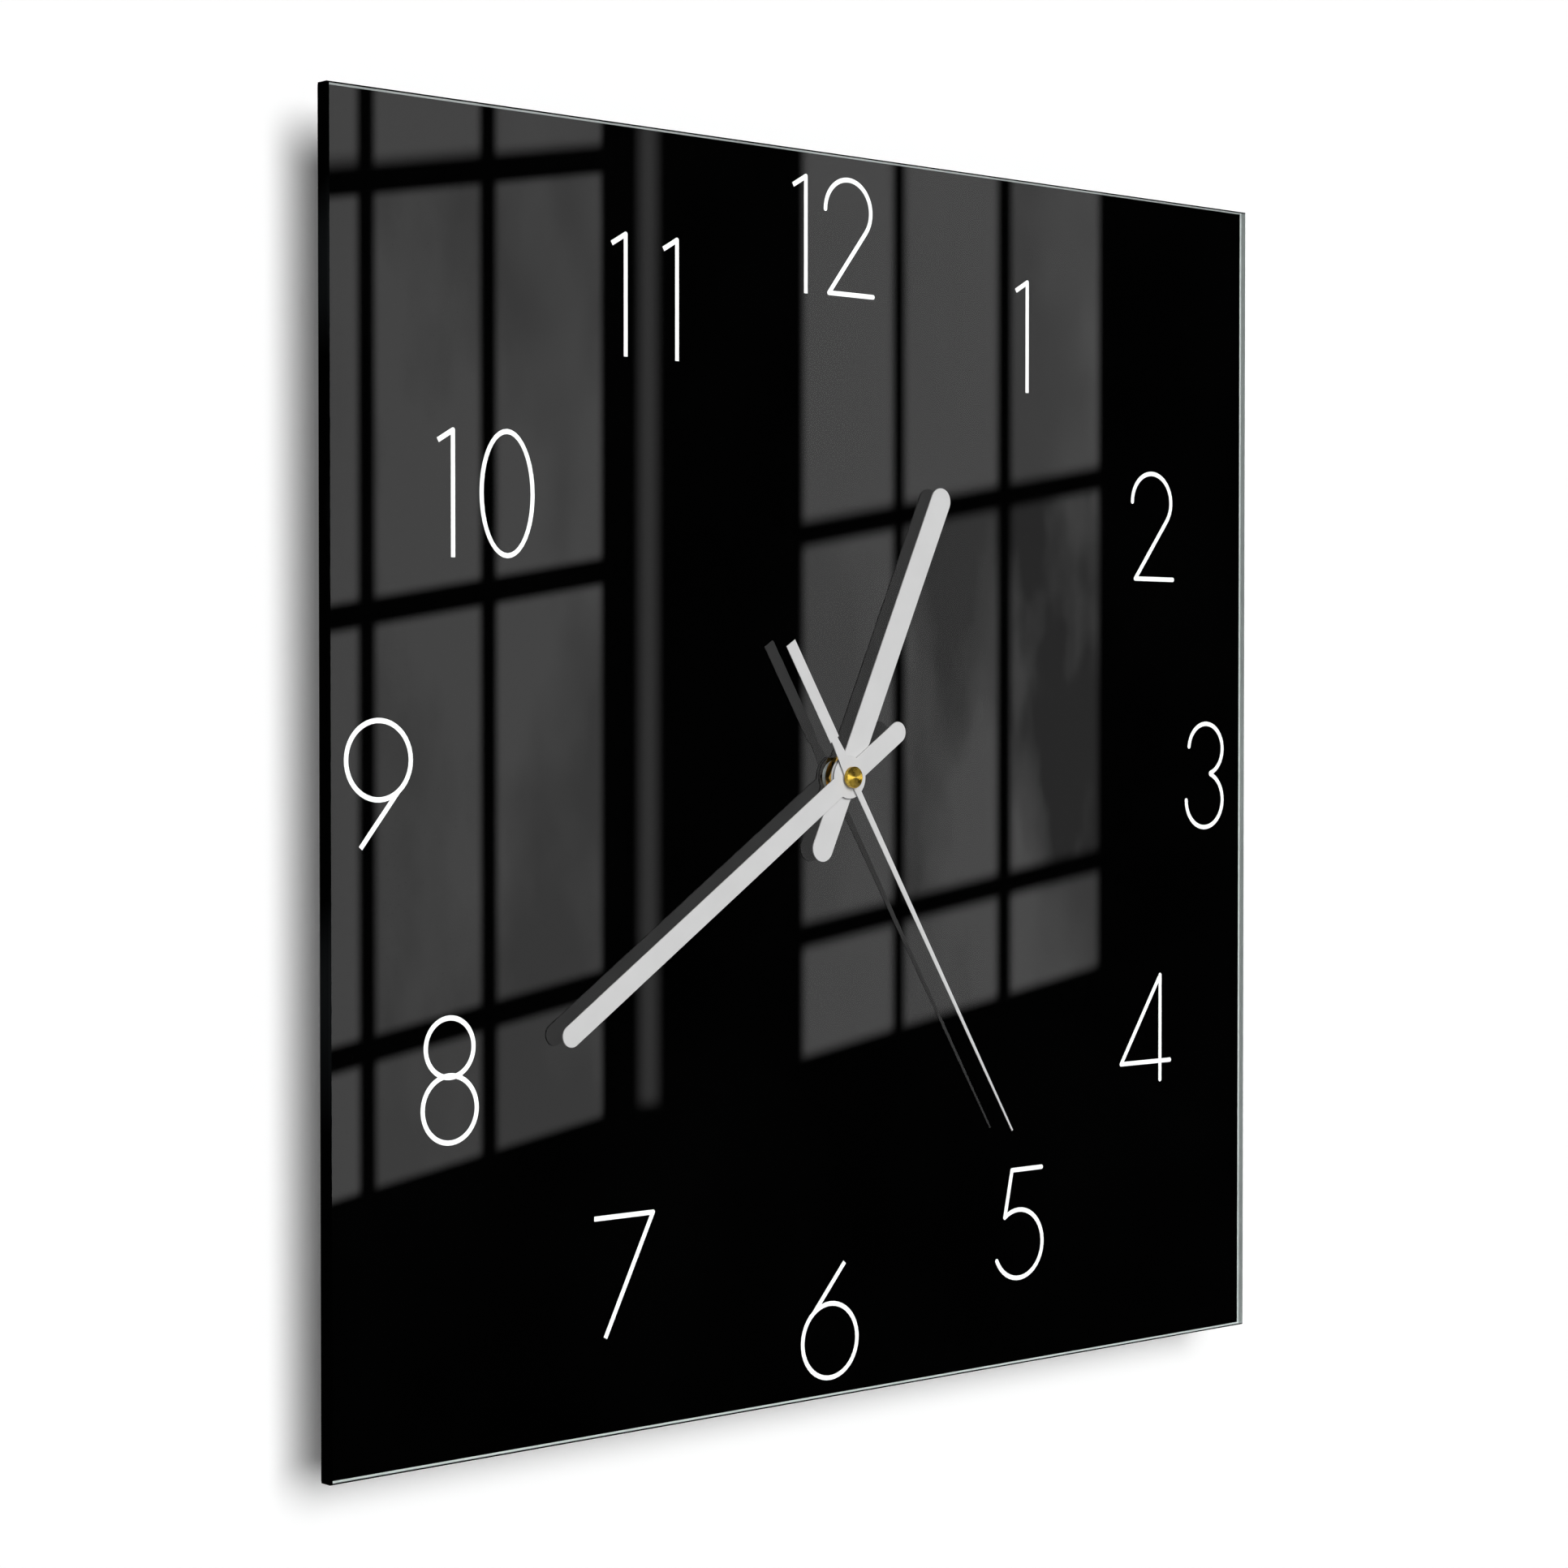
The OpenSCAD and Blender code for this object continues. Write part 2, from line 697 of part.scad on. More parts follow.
module core_cutter() {
    translate([rotor_at[0] - stator_reach, coil_y - core_w / 2 - seat_gap, core_z - seat_gap])
        cube([2 * stator_reach, core_w + 2 * seat_gap, core_t + 2 * seat_gap]);
}

spool_w = 3.6;              // across the bobbin's barrel

module coil_bobbin() {
    mid_z = core_z + core_t / 2;
    x0 = rotor_at[0] - bobbin_len / 2;
    color([0.9, 0.9, 0.85]) placed() difference() {
        union() {
            translate([x0, coil_y - spool_w / 2, mid_z - spool_w / 2])
                cube([bobbin_len, spool_w, spool_w]);
            for (x = [x0, x0 + bobbin_len - bobbin_flange_t])
                translate([x, coil_y - bobbin_w / 2, mid_z - bobbin_w / 2])
                    cube([bobbin_flange_t, bobbin_w, bobbin_w]);
        }
        core_cutter();
    }
}

module coil_winding() {
    mid_z = core_z + core_t / 2;
    x0 = rotor_at[0] - bobbin_len / 2 + bobbin_flange_t + seat_gap;
    wind_len = bobbin_len - 2 * (bobbin_flange_t + seat_gap);
    hole_w = spool_w + 2 * seat_gap;
    wind_r = bobbin_w / 2 - 0.2;
    color([0.72, 0.4, 0.18]) placed() difference() {
        along_x([x0, coil_y, mid_z]) cylinder(r = wind_r, h = wind_len);
        translate([x0 - cut, coil_y - hole_w / 2, mid_z - hole_w / 2])
            cube([wind_len + 2 * cut, hole_w, hole_w]);
    }
}

// ---- Gears ----
function involute(a) = tan(a) * 180 / PI - a;
// Half the angle that a tooth takes up at radius r
function half_tooth(teeth, m, r) =
    let(base_r = teeth * m / 2 * cos(pressure), q = max(r, base_r))
    tooth_share * 90 / teeth + involute(pressure) - involute(acos(base_r / q));
function gear_radii(teeth, m) =
    let(p = teeth * m / 2)
    [p - dedendum * m, p - dedendum * m / 2, p, p + addendum * m / 2, p + addendum * m];
function gear_points(teeth, m) =
    let(radii = gear_radii(teeth, m), last = len(radii) - 1)
    [for (i = [0:teeth - 1], side = [-1, 1], k = side < 0 ? [0:last] : [last:-1:0])
        polar(radii[k], 360 * i / teeth + side * half_tooth(teeth, m, radii[k]))];

// Toothed disc between two levels. Its first tooth points along angle phase.
module gear(teeth, m, z0, t, phase) {
    slab(z0, t) rotate(phase) polygon(gear_points(teeth, m));
}

// Phase that puts a gear in mesh with the one it meets: dir points from the
// other gear's axis to this one's, and the other's first tooth points along phase.
function meshed(teeth, other_teeth, other_phase, dir) =
    dir + 180 - 180 / teeth + (dir - other_phase) * other_teeth / teeth;

minute_phase = 0;
motion_phase = meshed(motion_teeth, cannon_teeth, minute_phase, motion_dir);
hour_phase = meshed(hour_teeth, pinion_teeth, motion_phase, motion_dir + 180);
third_phase = meshed(pinion_teeth, minute_teeth, minute_phase, third_dir);
second_phase = meshed(pinion_teeth, third_teeth, third_phase, third_dir + 180);
fifth_phase = meshed(pinion_teeth, second_teeth, second_phase, fifth_dir);
rotor_phase = meshed(pinion_teeth, fifth_teeth, fifth_phase, rotor_dir);

rotor_neck_r = pivot_r + 0.35;   // the rotor's shaft where the magnet sits

module rotor_magnet() {
    magnet_r = 2.4;
    magnet_t = 1.6;
    color([0.3, 0.3, 0.32]) placed() at(rotor_at) difference() {
        disc(magnet_r, magnet_z, magnet_z + magnet_t);
        disc(rotor_neck_r + seat_gap, magnet_z - cut, magnet_z + magnet_t + cut);
    }
}

module rotor_pinion() {
    color([0.9, 0.9, 0.9]) placed() at(rotor_at) {
        disc(pivot_r, case_z0 + 0.7, magnet_z);
        disc(rotor_neck_r, magnet_z, fifth_wheel_z);
        gear(pinion_teeth, fifth_module, fifth_wheel_z - join, wheel_t + 0.3, rotor_phase);
        disc(pivot_r, fifth_wheel_z, plate_z + plate_t);
    }
}

module fifth_wheel() {
    color([0.92, 0.92, 0.9]) placed() at(fifth_at) {
        disc(pivot_r, rear_in_z + 0.2, plate_z + plate_t);
        gear(fifth_teeth, fifth_module, fifth_wheel_z, wheel_t, fifth_phase);
        gear(pinion_teeth, minute_module, fifth_wheel_z + wheel_t - join,
            second_wheel_z - fifth_wheel_z + 0.3, fifth_phase);
    }
}

module second_wheel() {
    pinion_z1 = third_wheel_z + wheel_t + end_gap;
    color([0.92, 0.92, 0.9]) placed() difference() {
        union() {
            gear(second_teeth, minute_module, second_wheel_z, wheel_t, second_phase);
            gear(pinion_teeth, second_module, second_wheel_z + wheel_t - join,
                pinion_z1 - second_wheel_z - wheel_t + 0.1, second_phase);
        }
        disc(arbor_r + seat_gap, second_wheel_z - cut, pinion_z1 + cut);
    }
}

module second_arbor() {
    color([0.75, 0.75, 0.77]) placed() disc(arbor_r, rear_in_z + 0.2, arbor_z1);
}

module third_wheel() {
    pinion_z0 = third_wheel_z + wheel_t - join;
    pinion_z1 = minute_wheel_z + front_wheel_t + 0.1;
    color([0.92, 0.92, 0.9]) placed() at(third_at) {
        disc(pivot_r, rear_in_z + 0.2, front_in_z - 0.2);
        gear(third_teeth, second_module, third_wheel_z, wheel_t, third_phase);
        gear(pinion_teeth, minute_module, pinion_z0, pinion_z1 - pinion_z0, third_phase);
    }
}

clutch_r = 2.4;

module minute_wheel() {
    color([0.92, 0.92, 0.9]) placed() difference() {
        gear(minute_teeth, minute_module, minute_wheel_z, front_wheel_t, minute_phase);
        disc(clutch_r + seat_gap, minute_wheel_z - cut, minute_wheel_z + front_wheel_t + cut);
    }
}

module minute_pipe() {
    top = minute_z + hand_t + 0.1;
    color([0.85, 0.7, 0.4]) placed() difference() {
        union() {
            disc(clutch_r, minute_wheel_z - join, motion_wheel_z);
            gear(cannon_teeth, motion_module, motion_wheel_z - join, front_wheel_t + 0.4,
                minute_phase);
            disc(minute_tube_r, motion_wheel_z, top);
        }
        disc(minute_bore_r, minute_wheel_z - cut, top + cut);
    }
}

module motion_wheel() {
    color([0.92, 0.92, 0.9]) placed() at(motion_at) {
        disc(shaft_r, knob_z0 + 0.4, hour_wheel_z);
        gear(motion_teeth, motion_module, motion_wheel_z, front_wheel_t + 0.2, motion_phase);
        gear(pinion_teeth, motion_module, motion_wheel_z + front_wheel_t + 0.1,
            front_in_z - 0.3 - motion_wheel_z - front_wheel_t - join, motion_phase);
        disc(pivot_r, hour_wheel_z, front_in_z + 0.6);
    }
}

module setting_knob() {
    flutes = 18;
    flute_r = 0.5;
    color([0.15, 0.15, 0.16]) placed() at(motion_at) difference() {
        disc(knob_r, knob_z0, knob_z0 + knob_t);
        disc(shaft_r + seat_gap, knob_z0 + 0.4, knob_z0 + knob_t + cut);
        for (i = [0:flutes - 1])
            at(polar(knob_r, 360 * i / flutes)) disc(flute_r, knob_z0 - cut, knob_z0 + knob_t + cut);
    }
}

module hour_wheel() {
    color([0.92, 0.92, 0.9]) placed() difference() {
        union() {
            gear(hour_teeth, motion_module, hour_wheel_z, front_wheel_t, hour_phase);
            disc(hour_tube_r, hour_wheel_z, hour_z + hand_t + 0.1);
        }
        disc(hour_bore_r, hour_wheel_z - cut, hour_z + hand_t + cut);
    }
}

// ---- Hands ----
// Strip with round ends along +Y, turned clockwise to its angle
module strip_hand(len, w, bore_r, z, angle) {
    slab(z, hand_t) rotate(-angle) difference() {
        union() {
            translate([-w / 2, -hand_tail + w / 2]) square([w, len + hand_tail - w]);
            translate([0, len - w / 2]) circle(d = w);
            translate([0, w / 2 - hand_tail]) circle(d = w);
            circle(d = hub_d);
        }
        circle(r = bore_r);
    }
}

module hour_hand() {
    color([0.83, 0.83, 0.83]) placed()
        strip_hand(hour_len, hour_w, hour_tube_r + seat_gap, hour_z, hour_angle);
}

module minute_hand() {
    color([0.83, 0.83, 0.83]) placed()
        strip_hand(minute_len, minute_w, minute_tube_r + seat_gap, minute_z, minute_angle);
}

second_tube_r = 1.2;
second_hub_d = 4.4;
cap_h = 1.05;
arbor_z1 = second_z + second_t + 0.5;

module second_hand() {
    root_w = 1.8;
    tip_w = 0.5;
    neck_w = 2;
    weight_y = -10.7;
    color([0.83, 0.83, 0.83]) placed() slab(second_z, second_t) rotate(-second_angle)
        difference() {
            union() {
                polygon([[-root_w / 2, 0], [root_w / 2, 0],
                    [tip_w / 2, second_len], [-tip_w / 2, second_len]]);
                polygon([[second_hub_d / 2 - 0.3, 0], [-second_hub_d / 2 + 0.3, 0],
                    [-neck_w / 2, weight_y - cut], [neck_w / 2, weight_y - cut]]);
                translate([-weight_w / 2, -second_tail])
                    square([weight_w, second_tail + weight_y]);
                circle(d = second_hub_d);
            }
            circle(r = second_tube_r + seat_gap);
        }
}

module second_hand_tube() {
    z0 = second_z - 0.3;
    color([0.8, 0.62, 0.25]) placed() difference() {
        disc(second_tube_r, z0, second_z + second_t + 0.6);
        disc(arbor_r + seat_gap, z0 - cut, arbor_z1 + seat_gap);
    }
}

module second_hand_cap() {
    z0 = second_z + second_t;
    lip = 0.3;
    color([0.8, 0.6, 0.15]) placed() difference() {
        rotate_extrude() polygon([[0, z0], [cap_d / 2, z0], [cap_d / 2, z0 + cap_h - 0.15],
            [cap_d / 2 - 0.15, z0 + cap_h], [0, z0 + cap_h + lip]]);
        disc(second_tube_r + seat_gap, z0 - cut, z0 + 0.6 + seat_gap);
    }
}

glass_panel();
dial_print();
numerals();
wall_bumpers();
hanger_plate();
sealing_washer();
front_washer();
hex_nut();
case_front();
case_rear();
middle_plate();
threaded_bush();
battery_can();
battery_sleeve();
contact_positive();
contact_negative();
circuit_board();
chip_cover();
quartz_crystal();
stator();
coil_core();
coil_bobbin();
coil_winding();
rotor_magnet();
rotor_pinion();
fifth_wheel();
second_wheel();
second_arbor();
second_hand();
second_hand_tube();
second_hand_cap();
third_wheel();
minute_wheel();
minute_pipe();
minute_hand();
motion_wheel();
setting_knob();
hour_wheel();
hour_hand();
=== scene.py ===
import math
import bmesh
import bpy
from mathutils import Matrix, Vector


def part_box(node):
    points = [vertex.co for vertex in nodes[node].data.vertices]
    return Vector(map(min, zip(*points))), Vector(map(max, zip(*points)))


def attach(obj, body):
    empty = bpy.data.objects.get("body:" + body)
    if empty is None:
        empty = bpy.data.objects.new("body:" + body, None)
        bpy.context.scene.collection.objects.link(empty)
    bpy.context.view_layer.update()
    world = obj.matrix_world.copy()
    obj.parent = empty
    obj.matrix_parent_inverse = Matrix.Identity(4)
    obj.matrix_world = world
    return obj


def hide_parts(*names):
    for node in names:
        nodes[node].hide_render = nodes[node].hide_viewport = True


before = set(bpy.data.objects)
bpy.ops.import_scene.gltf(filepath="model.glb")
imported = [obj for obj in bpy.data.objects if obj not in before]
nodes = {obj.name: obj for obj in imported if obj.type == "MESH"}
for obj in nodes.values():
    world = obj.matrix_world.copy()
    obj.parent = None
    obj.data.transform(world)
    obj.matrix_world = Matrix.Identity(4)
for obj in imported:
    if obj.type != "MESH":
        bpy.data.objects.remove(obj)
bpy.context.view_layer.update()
mm = 0.001
print("frame loaded:", len(nodes), "nodes")


# Small tools
def linear(hexColour):
    channels = [int(hexColour[i:i + 2], 16) / 255 for i in (1, 3, 5)]
    return (*(c / 12.92 if c <= 0.04045 else ((c + 0.055) / 1.055) ** 2.4 for c in channels), 1)


def addNode(tree, kind, sockets=None, ramp=None, **settings):
    made = tree.nodes.new("ShaderNode" + kind)
    for name, value in settings.items():
        setattr(made, name, value)
    for name, value in (sockets or {}).items():
        if isinstance(value, bpy.types.NodeSocket):
            tree.links.new(value, made.inputs[name])
        else:
            made.inputs[name].default_value = value
    if ramp:
        stops = made.color_ramp.elements
        for stop, (place, colour) in zip([stops[0], stops[1]], ramp[:2]):
            stop.position, stop.color = place, colour
        for place, colour in ramp[2:]:
            stops.new(place).color = colour
    return made


def newMaterial(name):
    made = bpy.data.materials.new(name)
    made.use_nodes = True
    made.node_tree.nodes.clear()
    return made, made.node_tree


def showShader(tree, shader):
    addNode(tree, "OutputMaterial", {"Surface": shader})


def featureScale(size):
    return 1 / (size * mm)          # a Noise texture's scale for features of that many millimetres


def surfaceMaterial(name, look):
    # A solid finish: two close colours in soft patches, fine grit in its gloss and height
    made, tree = newMaterial(name)
    place = addNode(tree, "TexCoord").outputs["Object"]
    stretch = addNode(tree, "Mapping", {"Vector": place, "Scale": look.get("stretch", (1, 1, 1))})
    patches = addNode(tree, "TexNoise", {
        "Vector": stretch.outputs["Vector"], "Scale": featureScale(look["patch"]), "Detail": 3.0})
    grit = addNode(tree, "TexNoise", {
        "Vector": stretch.outputs["Vector"], "Scale": featureScale(look["grit"]), "Detail": 2.0})
    colour = addNode(tree, "ValToRGB", {"Fac": patches.outputs["Fac"]}, ramp=[
        (0.3, linear(look["dark"])), (0.7, linear(look["light"]))])
    gloss = addNode(tree, "MapRange", {
        "Value": grit.outputs["Fac"], "From Min": 0.3, "From Max": 0.7,
        "To Min": look["gloss"][0], "To Max": look["gloss"][1]})
    bump = addNode(tree, "Bump", {
        "Height": grit.outputs["Fac"], "Strength": 1.0, "Distance": look["relief"] * mm})
    shader = addNode(tree, "BsdfPrincipled", {
        "Base Color": colour.outputs["Color"], "Roughness": gloss.outputs["Result"],
        "Normal": bump.outputs["Normal"], "Metallic": look.get("metal", 0.0),
        "Coat Weight": look.get("coat", 0.0), "Coat Roughness": 0.15,
        "Specular IOR Level": look.get("specular", 0.5)})
    showShader(tree, shader.outputs["BSDF"])
    return made


def turnedMaterial(name, look):
    # Lathe-turned metal: fine rings round the arbor, which gather the light into two wedges
    made, tree = newMaterial(name)
    place = addNode(tree, "TexCoord").outputs["Object"]
    centred = addNode(tree, "Mapping", {"Vector": place, "Location": (0, 0, -look["centre"] * mm)})
    flat = addNode(tree, "VectorMath", {
        0: centred.outputs["Vector"], 1: (1, 0, 1)}, operation="MULTIPLY")
    radius = addNode(tree, "VectorMath", {0: flat.outputs["Vector"]}, operation="LENGTH")
    ringTurn = addNode(tree, "Math", {
        0: radius.outputs["Value"], 1: 2 * math.pi / (look["ring"] * mm)}, operation="MULTIPLY")
    rings = addNode(tree, "Math", {0: ringTurn.outputs["Value"]}, operation="SINE")
    patches = addNode(tree, "TexNoise", {
        "Vector": place, "Scale": featureScale(look["patch"]), "Detail": 3.0})
    colour = addNode(tree, "ValToRGB", {"Fac": patches.outputs["Fac"]}, ramp=[
        (0.3, linear(look["dark"])), (0.7, linear(look["light"]))])
    gloss = addNode(tree, "MapRange", {
        "Value": patches.outputs["Fac"], "From Min": 0.3, "From Max": 0.7,
        "To Min": look["gloss"][0], "To Max": look["gloss"][1]})
    bump = addNode(tree, "Bump", {
        "Height": rings.outputs["Value"], "Strength": 1.0, "Distance": look["relief"] * mm})
    shader = addNode(tree, "BsdfPrincipled", {
        "Base Color": colour.outputs["Color"], "Roughness": gloss.outputs["Result"],
        "Normal": bump.outputs["Normal"], "Metallic": 1.0})
    showShader(tree, shader.outputs["BSDF"])
    return made


def polishedGlass(name, look):
    # Soda-lime float glass: light for the print passes it as through a clear pane
    made, tree = newMaterial(name)
    place = addNode(tree, "TexCoord").outputs["Object"]
    smears = addNode(tree, "TexNoise", {
        "Vector": place, "Scale": featureScale(look["smear"]), "Detail": 4.0})
    gloss = addNode(tree, "MapRange", {
        "Value": smears.outputs["Fac"], "From Min": 0.35, "From Max": 0.75,
        "To Min": look["gloss"][0], "To Max": look["gloss"][1]})
    glass = addNode(tree, "BsdfPrincipled", {
        "Base Color": linear(look["tint"]), "Roughness": gloss.outputs["Result"],
        "IOR": 1.52, "Transmission Weight": 1.0})
    clear = addNode(tree, "BsdfTransparent", {"Color": linear(look["shade"])})
    rays = addNode(tree, "LightPath")
    either = addNode(tree, "MixShader", {
        "Fac": rays.outputs["Is Shadow Ray"], 1: glass.outputs["BSDF"], 2: clear.outputs["BSDF"]})
    showShader(tree, either.outputs["Shader"])
    return made


def backGlowingInGlass(name, look):
    # The back of a hand: pale primer, with a painted glow that shows only in the glass's reflection, where
    # the unlit back would otherwise mirror dark
    made, tree = newMaterial(name)
    place = addNode(tree, "TexCoord").outputs["Object"]
    patches = addNode(tree, "TexNoise", {
        "Vector": place, "Scale": featureScale(look["patch"]), "Detail": 3.0})
    colour = addNode(tree, "ValToRGB", {"Fac": patches.outputs["Fac"]}, ramp=[
        (0.3, linear(look["dark"])), (0.7, linear(look["light"]))])
    # painted glow: the back gives off its own colour to glossy rays only, though no lamp lights it
    rays = addNode(tree, "LightPath")
    lift = addNode(tree, "Math", {0: rays.outputs["Is Glossy Ray"], 1: look["mirrored"]},
                   operation="MULTIPLY")
    shader = addNode(tree, "BsdfPrincipled", {
        "Base Color": colour.outputs["Color"], "Roughness": 0.6,
        "Emission Color": colour.outputs["Color"], "Emission Strength": lift.outputs["Value"]})
    showShader(tree, shader.outputs["BSDF"])
    return made


def edgeMaterialShadedOutside(name, look):
    # Machine-ground glass edge: painted near-black shade from outside, with a few lighter patches as a
    # painted reflected streak, and a frosted white band from within
    made, tree = newMaterial(name)
    place = addNode(tree, "TexCoord").outputs["Object"]
    patches = addNode(tree, "TexNoise", {
        "Vector": place, "Scale": featureScale(look["patch"]), "Detail": 1.0})
    grit = addNode(tree, "TexNoise", {
        "Vector": place, "Scale": featureScale(look["grit"]), "Detail": 2.0})
    gloss = addNode(tree, "MapRange", {
        "Value": grit.outputs["Fac"], "From Min": 0.3, "From Max": 0.7,
        "To Min": look["gloss"][0], "To Max": look["gloss"][1]})
    skins = []
    # the outside skin is painted near-black shade with lighter patches as a painted reflection; the inside
    # skin is the frosted edge's own colour
    for dark, light in (look["outside"], look["inside"]):
        colour = addNode(tree, "ValToRGB", {"Fac": patches.outputs["Fac"]}, ramp=[
            (0.55, linear(dark)), (0.75, linear(light))])
        skins.append(addNode(tree, "BsdfPrincipled", {
            "Base Color": colour.outputs["Color"], "Roughness": gloss.outputs["Result"],
            "Specular IOR Level": look["shine"]}).outputs["BSDF"])
    side = addNode(tree, "NewGeometry")
    either = addNode(tree, "MixShader", {
        "Fac": side.outputs["Backfacing"], 1: skins[0], 2: skins[1]})
    clear = addNode(tree, "BsdfTransparent")
    rays = addNode(tree, "LightPath")
    lit = addNode(tree, "MixShader", {
        "Fac": rays.outputs["Is Shadow Ray"], 1: either.outputs["Shader"], 2: clear.outputs["BSDF"]})
    showShader(tree, lit.outputs["Shader"])
    return made


def finishPiece(piece, mesh):
    bmesh.ops.remove_doubles(mesh, verts=mesh.verts, dist=1e-7)
    bmesh.ops.recalc_face_normals(mesh, faces=mesh.faces)
    mesh.to_mesh(piece.data)
    mesh.free()
    return piece


def newPiece(name, body, replaced, materials):
    piece = bpy.data.objects.new(name, bpy.data.meshes.new(name))
    bpy.context.scene.collection.objects.link(piece)
    for material in materials:
        piece.data.materials.append(material)
    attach(piece, body)
    if replaced:
        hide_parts(*replaced)
    return piece


def solidCopy(node):
    # A CAD node's triangles joined into flat faces
    mesh = bmesh.new()
    mesh.from_mesh(nodes[node].data)
    bmesh.ops.remove_doubles(mesh, verts=mesh.verts, dist=2e-7)
    bmesh.ops.dissolve_limit(mesh, angle_limit=math.radians(0.5), verts=mesh.verts, edges=mesh.edges)
    return mesh


def softenEdges(mesh, width, segments=2, sharp=40, chosen=lambda edge: True):
    edges = [e for e in mesh.edges
             if e.is_manifold and e.calc_face_angle(0) > math.radians(sharp) and chosen(e)]
    bmesh.ops.bevel(mesh, geom=edges, offset=width * mm, offset_type="OFFSET", affect="EDGES",
                    segments=segments, profile=0.5, material=-1, clamp_overlap=True)


def smoothRound(piece, angle=12):
    for face in piece.data.polygons:
        face.use_smooth = True
    piece.data.set_sharp_from_angle(angle=math.radians(angle))
    return piece


def refinedNode(node, name, body, material, width=0.0, segments=2):
    mesh = solidCopy(node)
    if width:
        softenEdges(mesh, width, segments)
    return smoothRound(finishPiece(newPiece(name, body, [node], [material]), mesh))


def spinProfile(mesh, points, centre, axis, steps=64):
    # Turns a closed or open profile, given as (radius, place along the axis), round the axis
    side = Vector((0, 0, 1)) if abs(axis[2]) < 0.5 else Vector((1, 0, 0))
    made = [mesh.verts.new(centre + side * r * mm + axis * a * mm) for r, a in points]
    edges = [mesh.edges.new(pair) for pair in zip(made, made[1:])]
    bmesh.ops.spin(mesh, geom=made + edges, cent=centre, axis=axis, angle=2 * math.pi,
                   steps=steps, use_merge=True, use_duplicate=False)


def middle(node):
    low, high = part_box(node)
    return (low + high) / 2


def domePoints(r, h, step):
    # The profile of a dome, with a point every so many degrees and one at its top
    rise = [math.radians(a) for a in range(0, 90, step)]
    return [(r * math.cos(a), h * math.sin(a)) for a in rise] + [(0, h)]


def turnedPiece(name, body, replaced, material, profiles, centre, axis, steps=64, angle=30):
    mesh = bmesh.new()
    for points in profiles:
        spinProfile(mesh, points, centre, axis, steps)
    return smoothRound(finishPiece(newPiece(name, body, replaced, [material]), mesh), angle)


outward = Vector((0, -1, 0))        # from the wall towards the room
sideways = Vector((1, 0, 0))
arborZ = middle("second_arbor").z

# Camera, at the viewing angle
viewpoint = {"place": (-0.593567, -0.65179, -0.023945), "yaw": 42.449, "pitch": -1.175, "lens": 82.16}
camera = bpy.data.objects.new("camera", bpy.data.cameras.new("camera"))
bpy.context.scene.collection.objects.link(camera)
camera.location = viewpoint["place"]
camera.rotation_euler = (math.radians(90 + viewpoint["pitch"]), 0, math.radians(-viewpoint["yaw"]))
camera.data.lens, camera.data.sensor_width = viewpoint["lens"], 36
bpy.context.scene.camera = camera
bpy.context.scene.view_settings.view_transform = "Standard"

# Finishes, each named for the real material
floatGlass = polishedGlass("polishedFloatGlass", {
    "tint": "#FBFEFD", "shade": "#FCFEFD", "smear": 55,
    "gloss": (0.0, 0.012)})                         # clear, with sharp reflections
edgeGlassShadedOutside = edgeMaterialShadedOutside("frostedEdgeShadedOutside", {
    "outside": ("#010101", "#191B1C"), "inside": ("#C2C8C7", "#DDE1E0"), "patch": 70, "grit": 0.3,
    "gloss": (0.2, 0.36), "shine": 0.0})            # painted black shade from outside, frosted and bright from within
blackEnamel = surfaceMaterial("blackScreenInkUnderGlass", {
    "dark": "#010101", "light": "#020202", "patch": 40, "grit": 0.2, "gloss": (0.9, 1.0),
    "relief": 0.0005, "specular": 0.0})             # ink wet to the glass, so only the glass shines
inkBack = surfaceMaterial("blackScreenInkBack", {
    "dark": "#0B0B0C", "light": "#141415", "patch": 25, "grit": 0.3, "gloss": (0.32, 0.5),
    "relief": 0.004})                               # two satin coats with a faint orange-peel
whiteEnamel = surfaceMaterial("whiteScreenInkUnderGlass", {
    "dark": "#FBFBFB", "light": "#FFFFFF", "patch": 12, "grit": 0.2, "gloss": (0.9, 1.0),
    "relief": 0.0005, "specular": 0.0})             # opaque white seen through the glass
handLacquer = surfaceMaterial("satinLacquerOnAluminium", {
    "dark": "#D2D2D2", "light": "#D7D7D7", "patch": 9, "grit": 0.12, "gloss": (0.42, 0.55),
    "relief": 0.0012, "specular": 0.3})             # pale grey lacquer, almost even, with a fine tooth
handBackPaintedGlow = backGlowingInGlass("palePrimerPaintedGlow", {
    "dark": "#D6D6D6", "light": "#E2E2E2", "patch": 6,
    "mirrored": 0.95})                              # the hands' backs, with a painted glow in the glass's reflection
turnedBrass = turnedMaterial("latheTurnedBrass", {
    "centre": arborZ / mm, "ring": 0.16, "patch": 1.2, "dark": "#A98A2C", "light": "#CDAE4C",
    "gloss": (0.24, 0.34), "relief": 0.018})          # rings drawn a little coarse so that they show
spunBrass = turnedMaterial("machinedBrass", {
    "centre": arborZ / mm, "ring": 0.4, "patch": 3, "dark": "#AE8A3E", "light": "#CDA957",
    "gloss": (0.22, 0.36), "relief": 0.006})        # bright cut faces of nut, washer and bush
zincSteel = surfaceMaterial("zincPlatedSteel", {
    "dark": "#A9AEB3", "light": "#C8CCD0", "patch": 5, "grit": 0.25, "gloss": (0.25, 0.45),
    "relief": 0.003, "metal": 1.0, "stretch": (1, 1, 0.12)})     # rolled strip, plated, long faint grain
blackAbs = surfaceMaterial("mouldedBlackAbs", {
    "dark": "#151517", "light": "#1E1E20", "patch": 14, "grit": 0.35, "gloss": (0.42, 0.62),
    "relief": 0.014})                               # spark-textured mould, dull with tiny sparkles
